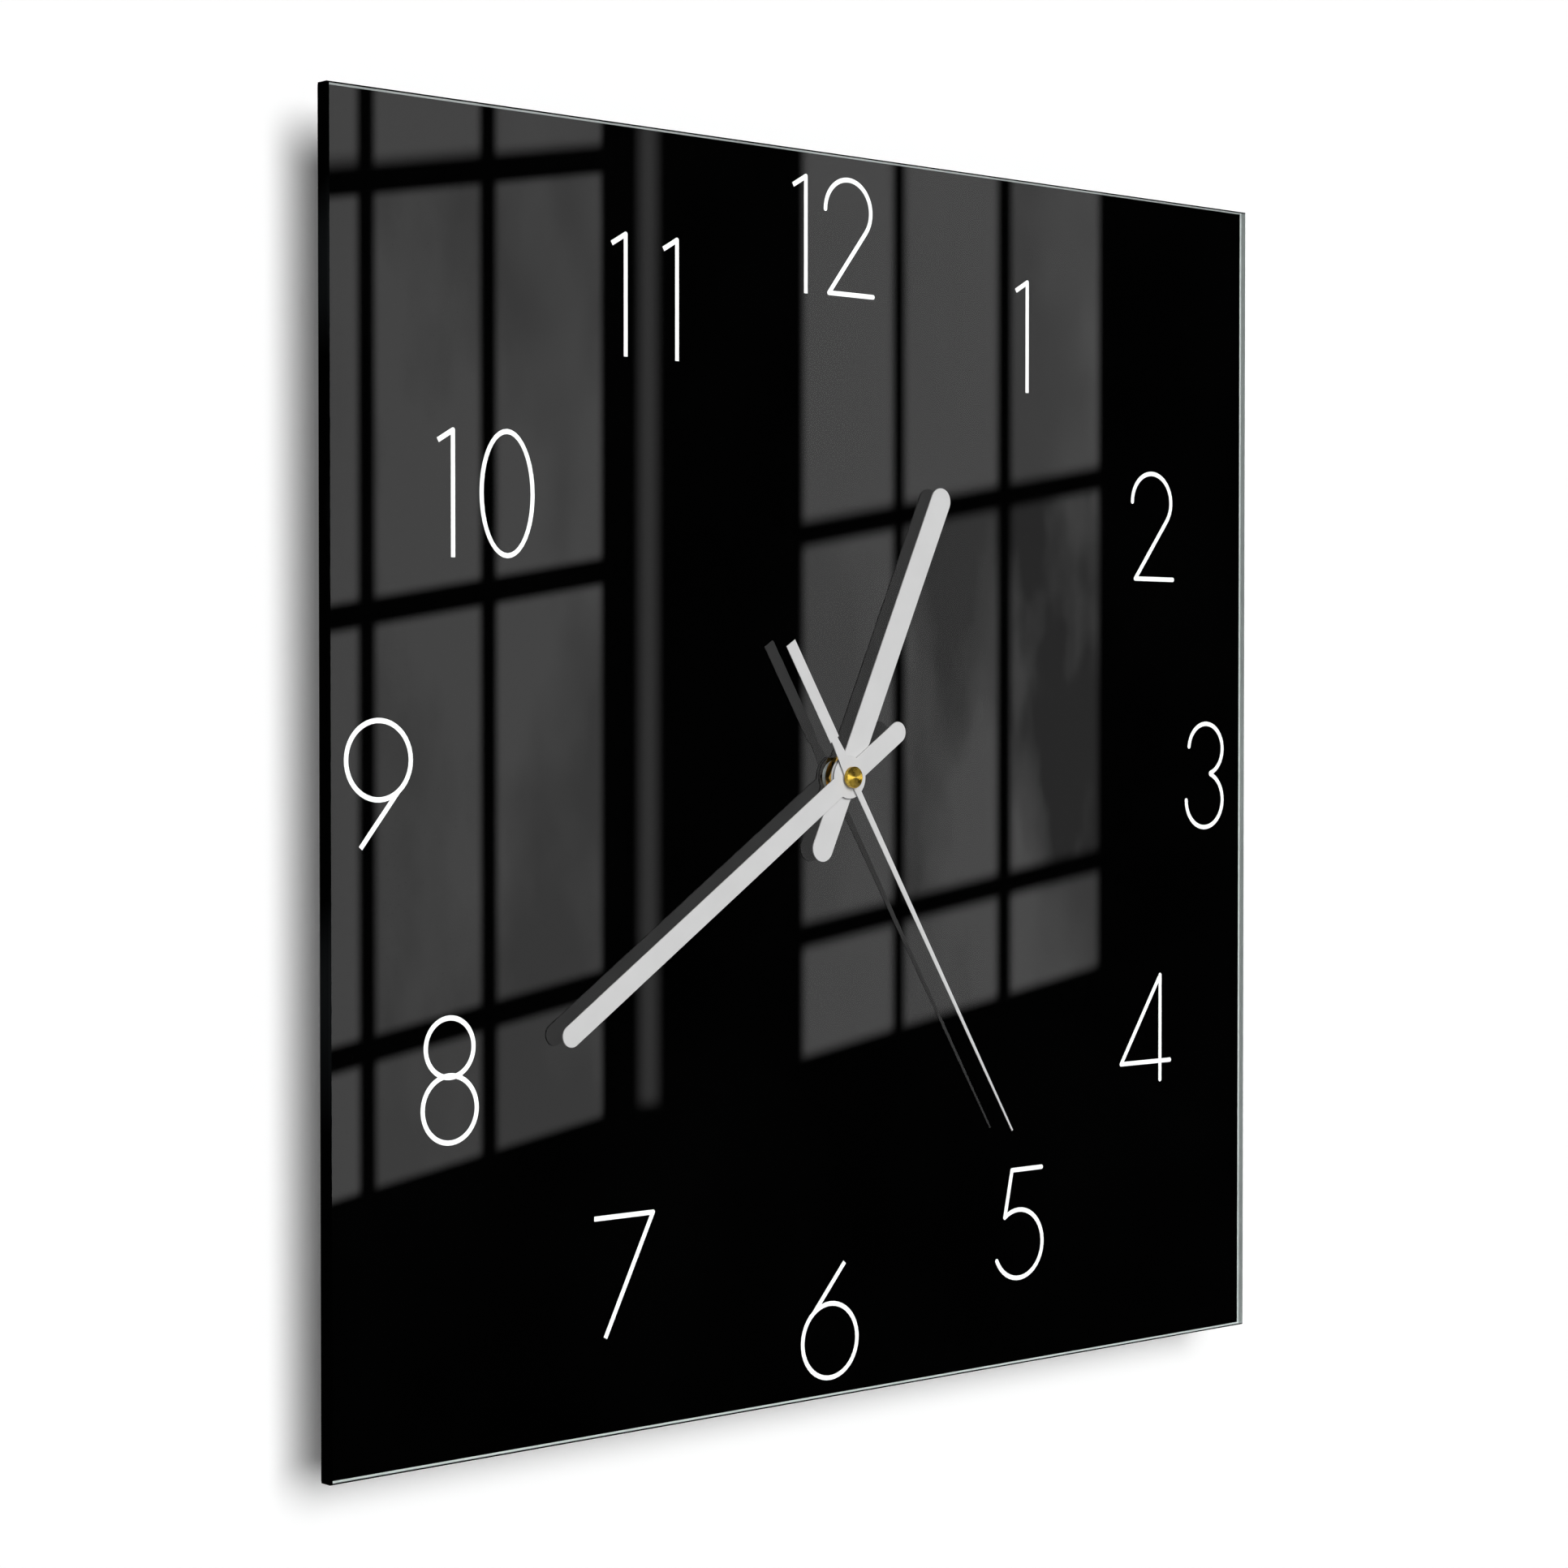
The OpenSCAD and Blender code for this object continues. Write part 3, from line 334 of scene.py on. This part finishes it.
paleAcetal = surfaceMaterial("mouldedAcetal", {
    "dark": "#DEDDD4", "light": "#EAE9E2", "patch": 4, "grit": 0.15, "gloss": (0.3, 0.42),
    "relief": 0.002})                               # waxy off-white gear plastic
rubber = surfaceMaterial("mouldedRubber", {
    "dark": "#1B1B1C", "light": "#262627", "patch": 6, "grit": 0.25, "gloss": (0.7, 0.88),
    "relief": 0.012})                               # dry, slightly bloomed black
nickelCan = surfaceMaterial("nickelPlatedSteel", {
    "dark": "#B4B2AC", "light": "#CFCDC8", "patch": 3, "grit": 0.12, "gloss": (0.16, 0.3),
    "relief": 0.001, "metal": 1.0})                 # warm bright plate of cell ends and crystal can
cellFilm = surfaceMaterial("shrunkPvcWrap", {
    "dark": "#203F66", "light": "#284B77", "patch": 10, "grit": 1.2, "gloss": (0.2, 0.32),
    "relief": 0.004, "coat": 0.5})                  # glossy film with a faint shrink ripple
springSteel = surfaceMaterial("tinnedSpringSteel", {
    "dark": "#B9B4A6", "light": "#D2CEC2", "patch": 2, "grit": 0.2, "gloss": (0.2, 0.38),
    "relief": 0.002, "metal": 1.0, "stretch": (0.15, 1, 1)})     # stamped strip with a soft tin bloom
laminate = surfaceMaterial("glassEpoxyLaminate", {
    "dark": "#1B5A38", "light": "#256C45", "patch": 3, "grit": 0.3, "gloss": (0.3, 0.45),
    "relief": 0.004})                               # green mask with the weave just showing
pottingEpoxy = surfaceMaterial("blackPottingEpoxy", {
    "dark": "#08080A", "light": "#111113", "patch": 2, "grit": 0.5, "gloss": (0.25, 0.4),
    "relief": 0.006})                               # cured drop, smooth with low ripples
softIron = surfaceMaterial("annealedNickelIron", {
    "dark": "#85878A", "light": "#9FA1A4", "patch": 2.5, "grit": 0.15, "gloss": (0.35, 0.5),
    "relief": 0.002, "metal": 1.0})                 # dull grey punched sheet
copperWire = surfaceMaterial("enamelledCopperWire", {
    "dark": "#A8572C", "light": "#C4713C", "patch": 1.5, "grit": 0.1, "gloss": (0.22, 0.34),
    "relief": 0.001, "metal": 1.0})                 # fine winding wire under amber lacquer
magnetBlack = surfaceMaterial("bondedFerrite", {
    "dark": "#2B2B2E", "light": "#38383B", "patch": 1, "grit": 0.1, "gloss": (0.5, 0.65),
    "relief": 0.003})                               # powdery dark grey
arborSteel = surfaceMaterial("drawnSteelWire", {
    "dark": "#B7B9BC", "light": "#CBCDD0", "patch": 2, "grit": 0.1, "gloss": (0.15, 0.25),
    "relief": 0.0008, "metal": 1.0, "stretch": (1, 0.1, 1)})     # bright pivot stock
solder = surfaceMaterial("leadFreeSolder", {
    "dark": "#C4C5C7", "light": "#DADBDC", "patch": 0.8, "grit": 0.2, "gloss": (0.2, 0.35),
    "relief": 0.002, "metal": 1.0})                 # small bright domes
print("finishes made:", len(bpy.data.materials))

# Glass and print
glassLook = {"facing": 0.9, "printFacing": 0.5, "sink": 0.03}
mesh = solidCopy("glass_panel")
for face in mesh.faces:
    face.material_index = 0 if abs(face.normal.y) > glassLook["facing"] else 1
bmesh.ops.recalc_face_normals(mesh, faces=mesh.faces)
glassPane = newPiece("glassPane", "clock", ["glass_panel"], [floatGlass, edgeGlassShadedOutside])
finishPiece(glassPane, mesh)

for node, name, slot, front, back in (
        ("dial_print", "dialPrint", "black_print", blackEnamel, inkBack),
        ("numerals", "printedNumerals", "white_print", whiteEnamel, inkBack)):
    mesh = solidCopy(node)
    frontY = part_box(node)[0].y
    for face in mesh.faces:
        face.material_index = 0 if face.normal.y < -glassLook["printFacing"] else 1
    for vert in mesh.verts:
        if abs(vert.co.y - frontY) < 1e-6:
            vert.co.y -= glassLook["sink"] * mm     # the ink is bonded to the glass
    finishPiece(newPiece(name, "clock", [node], [front, back]), mesh)
print("glass and print made")

# Hands
handLook = {"edge": 0.1, "thinEdge": 0.05, "facing": 0.9}
for node, name, body, width in (
        ("hour_hand", "hourHandBlade", "hours", handLook["edge"]),
        ("minute_hand", "minuteHandBlade", "minutes", handLook["edge"]),
        ("second_hand", "secondHandBlade", "seconds", handLook["thinEdge"])):
    blade = refinedNode(node, name, body, handLacquer, width)
    # the back faces take the primer with the painted glow in reflections
    blade.data.materials.append(handBackPaintedGlow)
    for face in blade.data.polygons:
        face.material_index = 1 if face.normal.y > handLook["facing"] else 0
capLow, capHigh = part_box("second_hand_cap")
capR, capT = (capHigh.x - capLow.x) / 2 / mm, (capHigh.y - capLow.y) / mm
capLook = {"cone": 0.3, "edge": 0.12, "step": 0.04, "steps": 96}
capBase = Vector((0, capHigh.y, arborZ))
capSide = capT - capLook["cone"]
turnedPiece("turnedBrassCap", "seconds", ["second_hand_cap"], turnedBrass, [[
    (0, 0), (capR - capLook["edge"], 0), (capR, capLook["edge"]), (capR, capSide - capLook["edge"]),
    (capR - capLook["step"], capSide - capLook["step"]),
    (capR - capLook["edge"], capSide + capLook["step"] / 2),
    (capR * 0.5, capSide + capLook["cone"] * 0.5), (0, capT)]], capBase, outward, capLook["steps"], 20)
print("hands made")

# Fastening at the centre
refinedNode("front_washer", "brassWasher", "clock", spunBrass, 0.05)
refinedNode("hex_nut", "brassHexNut", "clock", spunBrass, 0.14, 3)
refinedNode("threaded_bush", "threadedBush", "clock", spunBrass, 0.08)
refinedNode("second_hand_tube", "secondHandTube", "seconds", spunBrass, 0.04)
refinedNode("minute_pipe", "minutePipe", "minutes", spunBrass)
refinedNode("sealing_washer", "rubberSealingWasher", "clock", rubber, 0.25, 4)

hangerLook = {"bendOut": 1.4, "bendIn": 0.5, "edge": 0.1, "across": 20, "wideFace": 60, "sharp": 60}
mesh = solidCopy("hanger_plate")


def isBend(edge):
    # A bend runs right across the plate, between two of its wide faces
    return (edge.is_manifold and abs(edge.verts[0].co.x - edge.verts[1].co.x) > hangerLook["across"] * mm
            and all(f.calc_area() > hangerLook["wideFace"] * mm * mm for f in edge.link_faces))


turned = math.radians(hangerLook["sharp"])
outerBend = [e for e in mesh.edges if isBend(e) and e.calc_face_angle_signed(0) > turned]
innerBend = [e for e in mesh.edges if isBend(e) and e.calc_face_angle_signed(0) < -turned]
for edges, width in ((outerBend, hangerLook["bendOut"]), (innerBend, hangerLook["bendIn"])):
    bmesh.ops.bevel(mesh, geom=[e for e in edges if e.is_valid], offset=width * mm, affect="EDGES",
                    offset_type="OFFSET", segments=6, profile=0.5, material=-1, clamp_overlap=True)
softenEdges(mesh, hangerLook["edge"], 2, hangerLook["sharp"])
smoothRound(finishPiece(newPiece("bentHangerPlate", "clock", ["hanger_plate"],
                                 [zincSteel]), mesh))

bumperLook = {"fillet": 0.8, "rim": 0.35, "dish": 0.15, "grip": 2.5, "flange": 1.2}
mesh = bmesh.new()
low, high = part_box("wall_bumpers")
bumperR, bumperLen = (high.z - low.z) / 2 / mm, (high.y - low.y) / mm
for side in (-1, 1):
    r, fillet = bumperR, bumperLook["fillet"]
    profile = [(0, bumperLook["dish"]), (r - fillet - 1, bumperLook["dish"]), (r - fillet, 0)]
    profile += [(r - fillet + fillet * math.sin(math.radians(a)),
                 fillet - fillet * math.cos(math.radians(a))) for a in (15, 35, 55, 75, 90)]
    waist = r - bumperLook["rim"]
    profile += [(waist, bumperLook["grip"]), (waist, bumperLen - bumperLook["grip"]),
                (r, bumperLen - bumperLook["flange"]), (r, bumperLen), (0, bumperLen)]
    spinProfile(mesh, profile, Vector((side * (high.x - bumperR * mm), high.y, middle("wall_bumpers").z)),
                outward, 48)
smoothRound(finishPiece(newPiece("rubberBumpers", "clock", ["wall_bumpers"],
                                 [rubber]), mesh), 30)
print("fastening made")

# The movement's case
caseLook = {"edge": 0.35, "frontEdge": 0.12, "longEdge": 8}
refinedNode("case_front", "caseFrontShell", "clock", blackAbs, caseLook["frontEdge"])
mesh = solidCopy("case_rear")
low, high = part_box("case_rear")
softenEdges(mesh, caseLook["edge"], 3, 60, lambda e: e.calc_length() > caseLook["longEdge"] * mm and any(
    abs(v.co.y - high.y) < 1e-6 for v in e.verts))
smoothRound(finishPiece(newPiece("caseRearShell", "clock", ["case_rear"],
                                 [blackAbs]), mesh))

# Moulded ribs, ejector pips and two position marks beside the knob
knobAt = middle("setting_knob")
backLook = {"ribs": 7, "rib": (16, 0.7, 0.7), "ribX": 12, "ribTop": 6, "ribPitch": 2.0, "ribEdge": 0.15,
            "pip": 1.6, "pipHigh": 0.22, "inset": 4, "bayTop": 21, "mark": (0.7, 0.6, 3.2), "markR": 8.3}
mesh = bmesh.new()
for i in range(backLook["ribs"]):
    made = bmesh.ops.create_cube(mesh, size=1)["verts"]
    bmesh.ops.scale(mesh, verts=made, vec=Vector(backLook["rib"]) * mm)
    bmesh.ops.translate(mesh, verts=made, vec=Vector((
        low.x + backLook["ribX"] * mm, high.y,
        high.z - (backLook["ribTop"] + i * backLook["ribPitch"]) * mm)))
softenEdges(mesh, backLook["ribEdge"])
pip, inset = backLook["pip"], backLook["inset"] * mm
for z in (high.z - inset, low.z + backLook["bayTop"] * mm):
    for x in (low.x + inset, high.x - inset):
        spinProfile(mesh, [(0, backLook["pipHigh"]), (pip - 0.2, backLook["pipHigh"]), (pip, 0), (pip, -0.1)],
                    Vector((x, high.y, z)), Vector((0, 1, 0)), 24)
for turn in (-60, 60):
    made = bmesh.ops.create_cube(mesh, size=1)["verts"]
    bmesh.ops.scale(mesh, verts=made, vec=Vector(backLook["mark"]) * mm)
    bmesh.ops.translate(mesh, verts=made, vec=Vector((backLook["markR"] * mm, 0, 0)))
    bmesh.ops.rotate(mesh, verts=made, cent=(0, 0, 0), matrix=Matrix.Rotation(math.radians(turn), 3, "Y"))
    bmesh.ops.translate(mesh, verts=made, vec=Vector((knobAt.x, high.y, knobAt.z)))
smoothRound(finishPiece(newPiece("caseBackMarks", "clock", [], [blackAbs]), mesh))
refinedNode("setting_knob", "settingKnob", "motion", blackAbs, 0.08)
refinedNode("middle_plate", "middlePlate", "clock", paleAcetal, 0.06)
print("case made")

# Cell and contacts
low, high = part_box("battery_can")
cellR, cellLen = (high.z - low.z) / 2 / mm, (high.x - low.x) / mm
cellBase = Vector((low.x, (low.y + high.y) / 2, (low.z + high.z) / 2))
cellLook = {"nubR": 2.75}
r, nubR = cellR, cellLook["nubR"]
turnedPiece("alkalineCellCan", "clock", ["battery_can"], nickelCan, [[
    (0, 0), (nubR - 0.3, 0), (nubR - 0.08, 0.08), (nubR, 0.3),
    (nubR, 0.95), (3.4, 1.0), (3.7, 1.3), (5.0, 1.3), (5.4, 1.0), (r - 0.6, 1.0),
    (r - 0.15, 1.15), (r, 1.5), (r, cellLen - 0.5), (r - 0.15, cellLen - 0.15), (r - 0.5, cellLen),
    (4.2, cellLen), (4.0, cellLen - 0.25), (0, cellLen - 0.25)]], cellBase, sideways, 64)
low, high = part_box("battery_sleeve")
sleeveR, sleeveLen = (high.z - low.z) / 2 / mm, (high.x - low.x) / mm
turnedPiece("cellWrap", "clock", ["battery_sleeve"], cellFilm, [[
    (cellR + 0.02, 0), (sleeveR - 0.03, 0), (sleeveR, 0.1), (sleeveR, sleeveLen - 0.1),
    (sleeveR - 0.03, sleeveLen), (cellR + 0.02, sleeveLen), (cellR + 0.02, 0)]],
    Vector((low.x, (low.y + high.y) / 2, (low.z + high.z) / 2)), sideways, 64)
refinedNode("contact_positive", "positiveContact", "clock", springSteel, 0.06)
refinedNode("contact_negative", "negativeContact", "clock", springSteel, 0.06)
print("cell made")

# Circuit and coil
refinedNode("circuit_board", "circuitBoard", "clock", laminate, 0.04)
low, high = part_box("chip_cover")
chipR, chipT = (high.x - low.x) / 2 / mm, (high.y - low.y) / mm
turnedPiece("chipDrop", "clock", ["chip_cover"], pottingEpoxy,
            [[(0, 0)] + domePoints(chipR, chipT, 10)],
            Vector(((low.x + high.x) / 2, high.y, (low.z + high.z) / 2)), outward, 48, 50)
low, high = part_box("circuit_board")
mesh = bmesh.new()
domeLook = {"r": 0.55, "h": 0.4}
spots = [(low.x + 2 * mm, low.z + 4 * mm), (low.x + 4.2 * mm, low.z + 4 * mm),
         (high.x - 2.6 * mm, low.z + 2.2 * mm), (high.x - 3.6 * mm, low.z + 2.2 * mm),
         (high.x - 2 * mm, high.z - 1.4 * mm), (low.x + 1.6 * mm, high.z - 2 * mm)]
for x, z in spots:
    spinProfile(mesh, domePoints(domeLook["r"], domeLook["h"], 20), Vector((x, low.y, z)), outward, 16)
smoothRound(finishPiece(newPiece("solderDomes", "clock", [], [solder]), mesh), 60)
low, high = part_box("quartz_crystal")
canR, canLen = (high.x - low.x) / 2 / mm, (high.z - low.z) / mm
canLook = {"flange": 0.08, "flangeHigh": 0.3, "crown": 0.3}
tubeR = canR - canLook["flange"]
turnedPiece("crystalCan", "clock", ["quartz_crystal"], nickelCan, [[
    (0, 0), (canR - 0.1, 0), (canR, 0.08), (canR, canLook["flangeHigh"]),
    (tubeR, canLook["flangeHigh"] + 0.1), (tubeR, canLen - canLook["crown"]),
    (canR - canLook["crown"], canLen), (0, canLen)]],
    Vector(((low.x + high.x) / 2, (low.y + high.y) / 2, low.z)), Vector((0, 0, 1)), 32)
refinedNode("stator", "punchedStator", "clock", softIron, 0.05)
refinedNode("coil_core", "coilCore", "clock", softIron, 0.05)
refinedNode("coil_bobbin", "coilBobbin", "clock", paleAcetal, 0.08)
low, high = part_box("coil_winding")
windR, windLen = (high.z - low.z) / 2 / mm, (high.x - low.x) / mm
windLook = {"wire": 0.4, "inner": 2.57, "groove": 0.09, "shoulder": 0.02}   # wire coarse enough to show
turns = int(windLen / windLook["wire"])
pitch = windLen / turns
grooveR, shoulderR = windR - windLook["groove"], windR - windLook["shoulder"]
profile = [(windLook["inner"], 0)]
for turn in range(turns):
    profile += [(grooveR, pitch * (turn + 0.02)), (shoulderR, pitch * (turn + 0.25)),
                (windR, pitch * (turn + 0.5)), (shoulderR, pitch * (turn + 0.75))]
profile += [(grooveR, windLen), (windLook["inner"], windLen), (windLook["inner"], 0)]
turnedPiece("copperWinding", "clock", ["coil_winding"], copperWire, [profile],
            Vector((low.x, (low.y + high.y) / 2, (low.z + high.z) / 2)), sideways, 40, 80)
print("circuit made")

# Wheels
for node, name, body, material, slot in (
        ("rotor_magnet", "rotorMagnet", "rotor", magnetBlack, "magnet_black"),
        ("rotor_pinion", "rotorPinion", "rotor", paleAcetal, "pale_plastic"),
        ("fifth_wheel", "fifthWheel", "fifth", paleAcetal, "pale_plastic"),
        ("second_wheel", "secondWheel", "seconds", paleAcetal, "pale_plastic"),
        ("second_arbor", "secondArbor", "seconds", arborSteel, "arbor_steel"),
        ("third_wheel", "thirdWheel", "third", paleAcetal, "pale_plastic"),
        ("minute_wheel", "minuteWheel", "minutes", paleAcetal, "pale_plastic"),
        ("motion_wheel", "motionWheel", "motion", paleAcetal, "pale_plastic"),
        ("hour_wheel", "hourWheel", "hours", paleAcetal, "pale_plastic")):
    refinedNode(node, name, body, material)
print("wheels made")

# Stage
scene = bpy.context.scene


def stagePlane(name, corners, material):
    mesh = bmesh.new()
    mesh.faces.new([mesh.verts.new(c) for c in corners])
    made = bpy.data.objects.new(name, bpy.data.meshes.new(name))
    scene.collection.objects.link(made)
    mesh.to_mesh(made.data)
    mesh.free()
    made.data.materials.append(material)
    return made


def stagePaint(name, colour, cameraLift):
    # Matt paint, with a little light of its own for the camera so that it reads as white
    made, tree = newMaterial(name)
    rays = addNode(tree, "LightPath")
    paint = addNode(tree, "BsdfDiffuse", {"Color": linear(colour)})
    lift = addNode(tree, "Math", {0: rays.outputs["Is Camera Ray"], 1: cameraLift},
                   operation="MULTIPLY")
    glow = addNode(tree, "Emission", {"Color": (1, 1, 1, 1), "Strength": lift.outputs["Value"]})
    both = addNode(tree, "AddShader", {0: paint.outputs["BSDF"], 1: glow.outputs["Emission"]})
    return made, tree, both.outputs["Shader"]


stageLook = {"reach": 3.0, "wallColour": "#FFFFFF", "wallLift": 0.06, "wallBack": 0.0003,
             "floorColour": "#F4F4F4", "floorLift": 0.25, "floorZ": -1.4}
plaster, tree, painted = stagePaint("whitePlasterWall", stageLook["wallColour"], stageLook["wallLift"])
oneSided = addNode(tree, "MixShader", {
    "Fac": addNode(tree, "NewGeometry").outputs["Backfacing"], 1: painted,
    2: addNode(tree, "BsdfTransparent").outputs["BSDF"]})       # clear from behind, for the back views
showShader(tree, oneSided.outputs["Shader"])
reach, back, floorZ = stageLook["reach"], stageLook["wallBack"], stageLook["floorZ"]
wall = stagePlane("wall", [(-reach, back, floorZ), (reach, back, floorZ),
                           (reach, back, reach), (-reach, back, reach)], plaster)
wall.visible_shadow = False             # lets the rear light reach the clock's back
wall.visible_glossy = False
pale, tree, painted = stagePaint("paleFloorPaint", stageLook["floorColour"], stageLook["floorLift"])
showShader(tree, painted)
floor = stagePlane("floor", [(-reach, -reach, floorZ), (reach, -reach, floorZ),
                             (reach, reach, floorZ), (-reach, reach, floorZ)], pale)
floor.visible_diffuse = False           # no bounce into the shadow on the wall

# Panes of two windows, seen only in the gloss of the glass. Each pane is given on the
# glass, in millimetres from its centre, and thrown back to the windows' own distance.
windowLook = {"distance": 1500, "light": 1.2, "shapes": (9, 9, 4), "mottle": (0.42, 0.62)}
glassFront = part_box("glass_panel")[0].y / mm
mirrored = Vector((viewpoint["place"][0] / mm, 2 * glassFront - viewpoint["place"][1] / mm,
                   viewpoint["place"][2] / mm))
throw = (mirrored.y - glassFront + windowLook["distance"]) / (mirrored.y - glassFront)


def paneCorner(x, z):
    return ((mirrored.x + (x - mirrored.x) * throw) * mm, (glassFront - windowLook["distance"]) * mm,
            (mirrored.z + (z + arborZ / mm - mirrored.z) * throw) * mm)


def paneMaterial(name, light, mottle, blur):
    made, tree = newMaterial(name)
    spot = addNode(tree, "UVMap", uv_map="pane").outputs["UV"]
    axes = addNode(tree, "SeparateXYZ", {"Vector": spot})
    edges = []
    for axis, width in (("X", blur[0]), ("Y", blur[1])):
        start = addNode(tree, "MapRange", {"Value": axes.outputs[axis], "From Min": 0.0, "From Max": width},
                        interpolation_type="SMOOTHSTEP")
        end = addNode(tree, "MapRange", {"Value": axes.outputs[axis], "From Min": 1.0, "From Max": 1 - width},
                      interpolation_type="SMOOTHSTEP")
        edges.append(addNode(tree, "Math", {0: start.outputs["Result"], 1: end.outputs["Result"]},
                             operation="MULTIPLY"))
    soft = addNode(tree, "Math", {0: edges[0].outputs["Value"], 1: edges[1].outputs["Value"]},
                   operation="MULTIPLY")
    place = addNode(tree, "TexCoord").outputs["Object"]
    upright = addNode(tree, "Mapping", {"Vector": place, "Scale": windowLook["shapes"]})
    shapes = addNode(tree, "TexNoise", {"Vector": upright.outputs["Vector"], "Scale": 1.0, "Detail": 5.0})
    shade = addNode(tree, "MapRange", {"Value": shapes.outputs["Fac"], "From Min": windowLook["mottle"][0],
                                       "From Max": windowLook["mottle"][1],
                                       "To Min": light, "To Max": light * (1 - mottle)})
    strength = addNode(tree, "Math", {0: soft.outputs["Value"], 1: shade.outputs["Result"]},
                       operation="MULTIPLY")
    glow = addNode(tree, "Emission", {"Color": (1, 1, 1, 1), "Strength": strength.outputs["Value"]})
    back = addNode(tree, "BsdfTransparent", {"Color": (1, 1, 1, 1)})
    clear = addNode(tree, "AddShader", {0: glow.outputs["Emission"], 1: back.outputs["BSDF"]})
    showShader(tree, clear.outputs["Shader"])
    return made


def addPane(name, x0, x1, lowAt, highAt, light, mottle, blur):
    corners = [paneCorner(x0, lowAt(x0)), paneCorner(x1, lowAt(x1)),
               paneCorner(x1, highAt(x1)), paneCorner(x0, highAt(x0))]
    width, height = x1 - x0, highAt(x0) - lowAt(x0)
    pane = stagePlane(name, corners, paneMaterial(name + "Light", light, mottle,
                                                  (2 * blur / width, 2 * blur / height)))
    uv = pane.data.uv_layers.new(name="pane")
    for loop, place in zip(uv.data, ((0, 0), (1, 0), (1, 1), (0, 1))):
        loop.uv = place
    pane.visible_camera = pane.visible_diffuse = False
    pane.visible_shadow = pane.visible_transmission = False


def slantedBar(x0, z0, x1, z1):
    return lambda x: z0 + (z1 - z0) * (x - x0) / (x1 - x0)


windows = [
    {"columns": [(-165, -141.6), (-138.6, -108.6), (-105.6, -74)],
     "bars": [slantedBar(-150, 162, -74, 230), slantedBar(-150, 128, -74, 141),
              slantedBar(-150, 35.5, -74, 47.8), slantedBar(-150, -59, -74, -46),
              slantedBar(-150, -90.6, -74, -77.8)],
     "barHalf": 1.5, "grow": 0.8, "blur": 1.6,
     "mottle": [[0, 0, 0.1], [0.05, 0.3, 0.3], [0.05, 0.3, 0.35], [0, 0.2, 0.3]]},
    {"columns": [(-12.7, 18), (21.2, 54.6), (58.8, 92)],
     "bars": [slantedBar(-12.7, 175, 92, 215), slantedBar(-12.7, 58, 92, 76),
              slantedBar(-12.7, -38, 92, -22.7), slantedBar(-12.7, -69, 92, -52)],
     "barHalf": 0.9, "grow": 1.7, "blur": 2.2,
     "mottle": [[0, 0.05, 0.3], [0.15, 0.5, 0.7], [0.05, 0.25, 0.4]]}]
for w, window in enumerate(windows):
    for row, (top, bottom) in enumerate(zip(window["bars"], window["bars"][1:])):
        for column, (x0, x1) in enumerate(window["columns"]):
            gapLow = window["barHalf"] if row < len(window["bars"]) - 2 else 0
            addPane(f"pane{w}{row}{column}", x0 - window["grow"], x1 + window["grow"],
                    lambda x: bottom(x) + gapLow, lambda x: top(x) - window["barHalf"], windowLook["light"],
                    window["mottle"][row][column], window["blur"])
addPane("lightStrip", -66, -55.5, lambda x: -77, lambda x: 158, 0.6, 0.0, 2.6)
print("windows made")

# Lights
lightLook = {"key": (2.95, 38, (-0.27, -0.87, 0.28)), "rear": (2.2, 50, (0.35, 0.8, 0.5)),
             "glint": (2.95, 38, (-0.30, -0.87, -0.02))}      # strength, width in degrees, where from


def addSun(name, strength, width, towards):
    made = bpy.data.objects.new(name, bpy.data.lights.new(name, "SUN"))
    made.data.energy, made.data.angle = strength, math.radians(width)
    made.rotation_euler = Vector(towards).to_track_quat("Z", "Y").to_euler()
    scene.collection.objects.link(made)
    return made


addSun("keyLight", *lightLook["key"]).visible_glossy = False   # no lamp's disc in the black glass
brassPieces = bpy.data.collections.new("brassPieces")
brassPieces.objects.link(bpy.data.objects["turnedBrassCap"])
addSun("brassGlint", *lightLook["glint"]).light_linking.receiver_collection = brassPieces
addSun("rearLight", *lightLook["rear"])

world = bpy.data.worlds.new("studio")
scene.world = world
world.use_nodes = True
tree = world.node_tree
tree.nodes.clear()
rays = addNode(tree, "LightPath")
facing = addNode(tree, "SeparateXYZ", {"Vector": addNode(tree, "TexCoord").outputs["Generated"]})
skyLook = {"ambient": 0.1, "through": 0.4, "behind": 0.9, "turn": (-0.05, 0.25)}
behind = addNode(tree, "MapRange", {        # dark in front, so that the glass stays black
    "Value": facing.outputs["Y"], "From Min": skyLook["turn"][0], "From Max": skyLook["turn"][1],
    "To Min": 0.0, "To Max": skyLook["behind"]})
levels = addNode(tree, "Mix", {
    "Factor": rays.outputs["Is Diffuse Ray"], "A": behind.outputs["Result"], "B": skyLook["ambient"]})
through = addNode(tree, "Mix", {
    "Factor": rays.outputs["Is Transmission Ray"], "A": levels.outputs["Result"], "B": skyLook["through"]})
seen = addNode(tree, "Mix", {
    "Factor": rays.outputs["Is Camera Ray"], "A": through.outputs["Result"], "B": 1.0})
sky = addNode(tree, "Background", {"Color": (1, 1, 1, 1), "Strength": seen.outputs["Result"]})
addNode(tree, "OutputWorld", {"Surface": sky.outputs["Background"]})
print("stage and lights made")
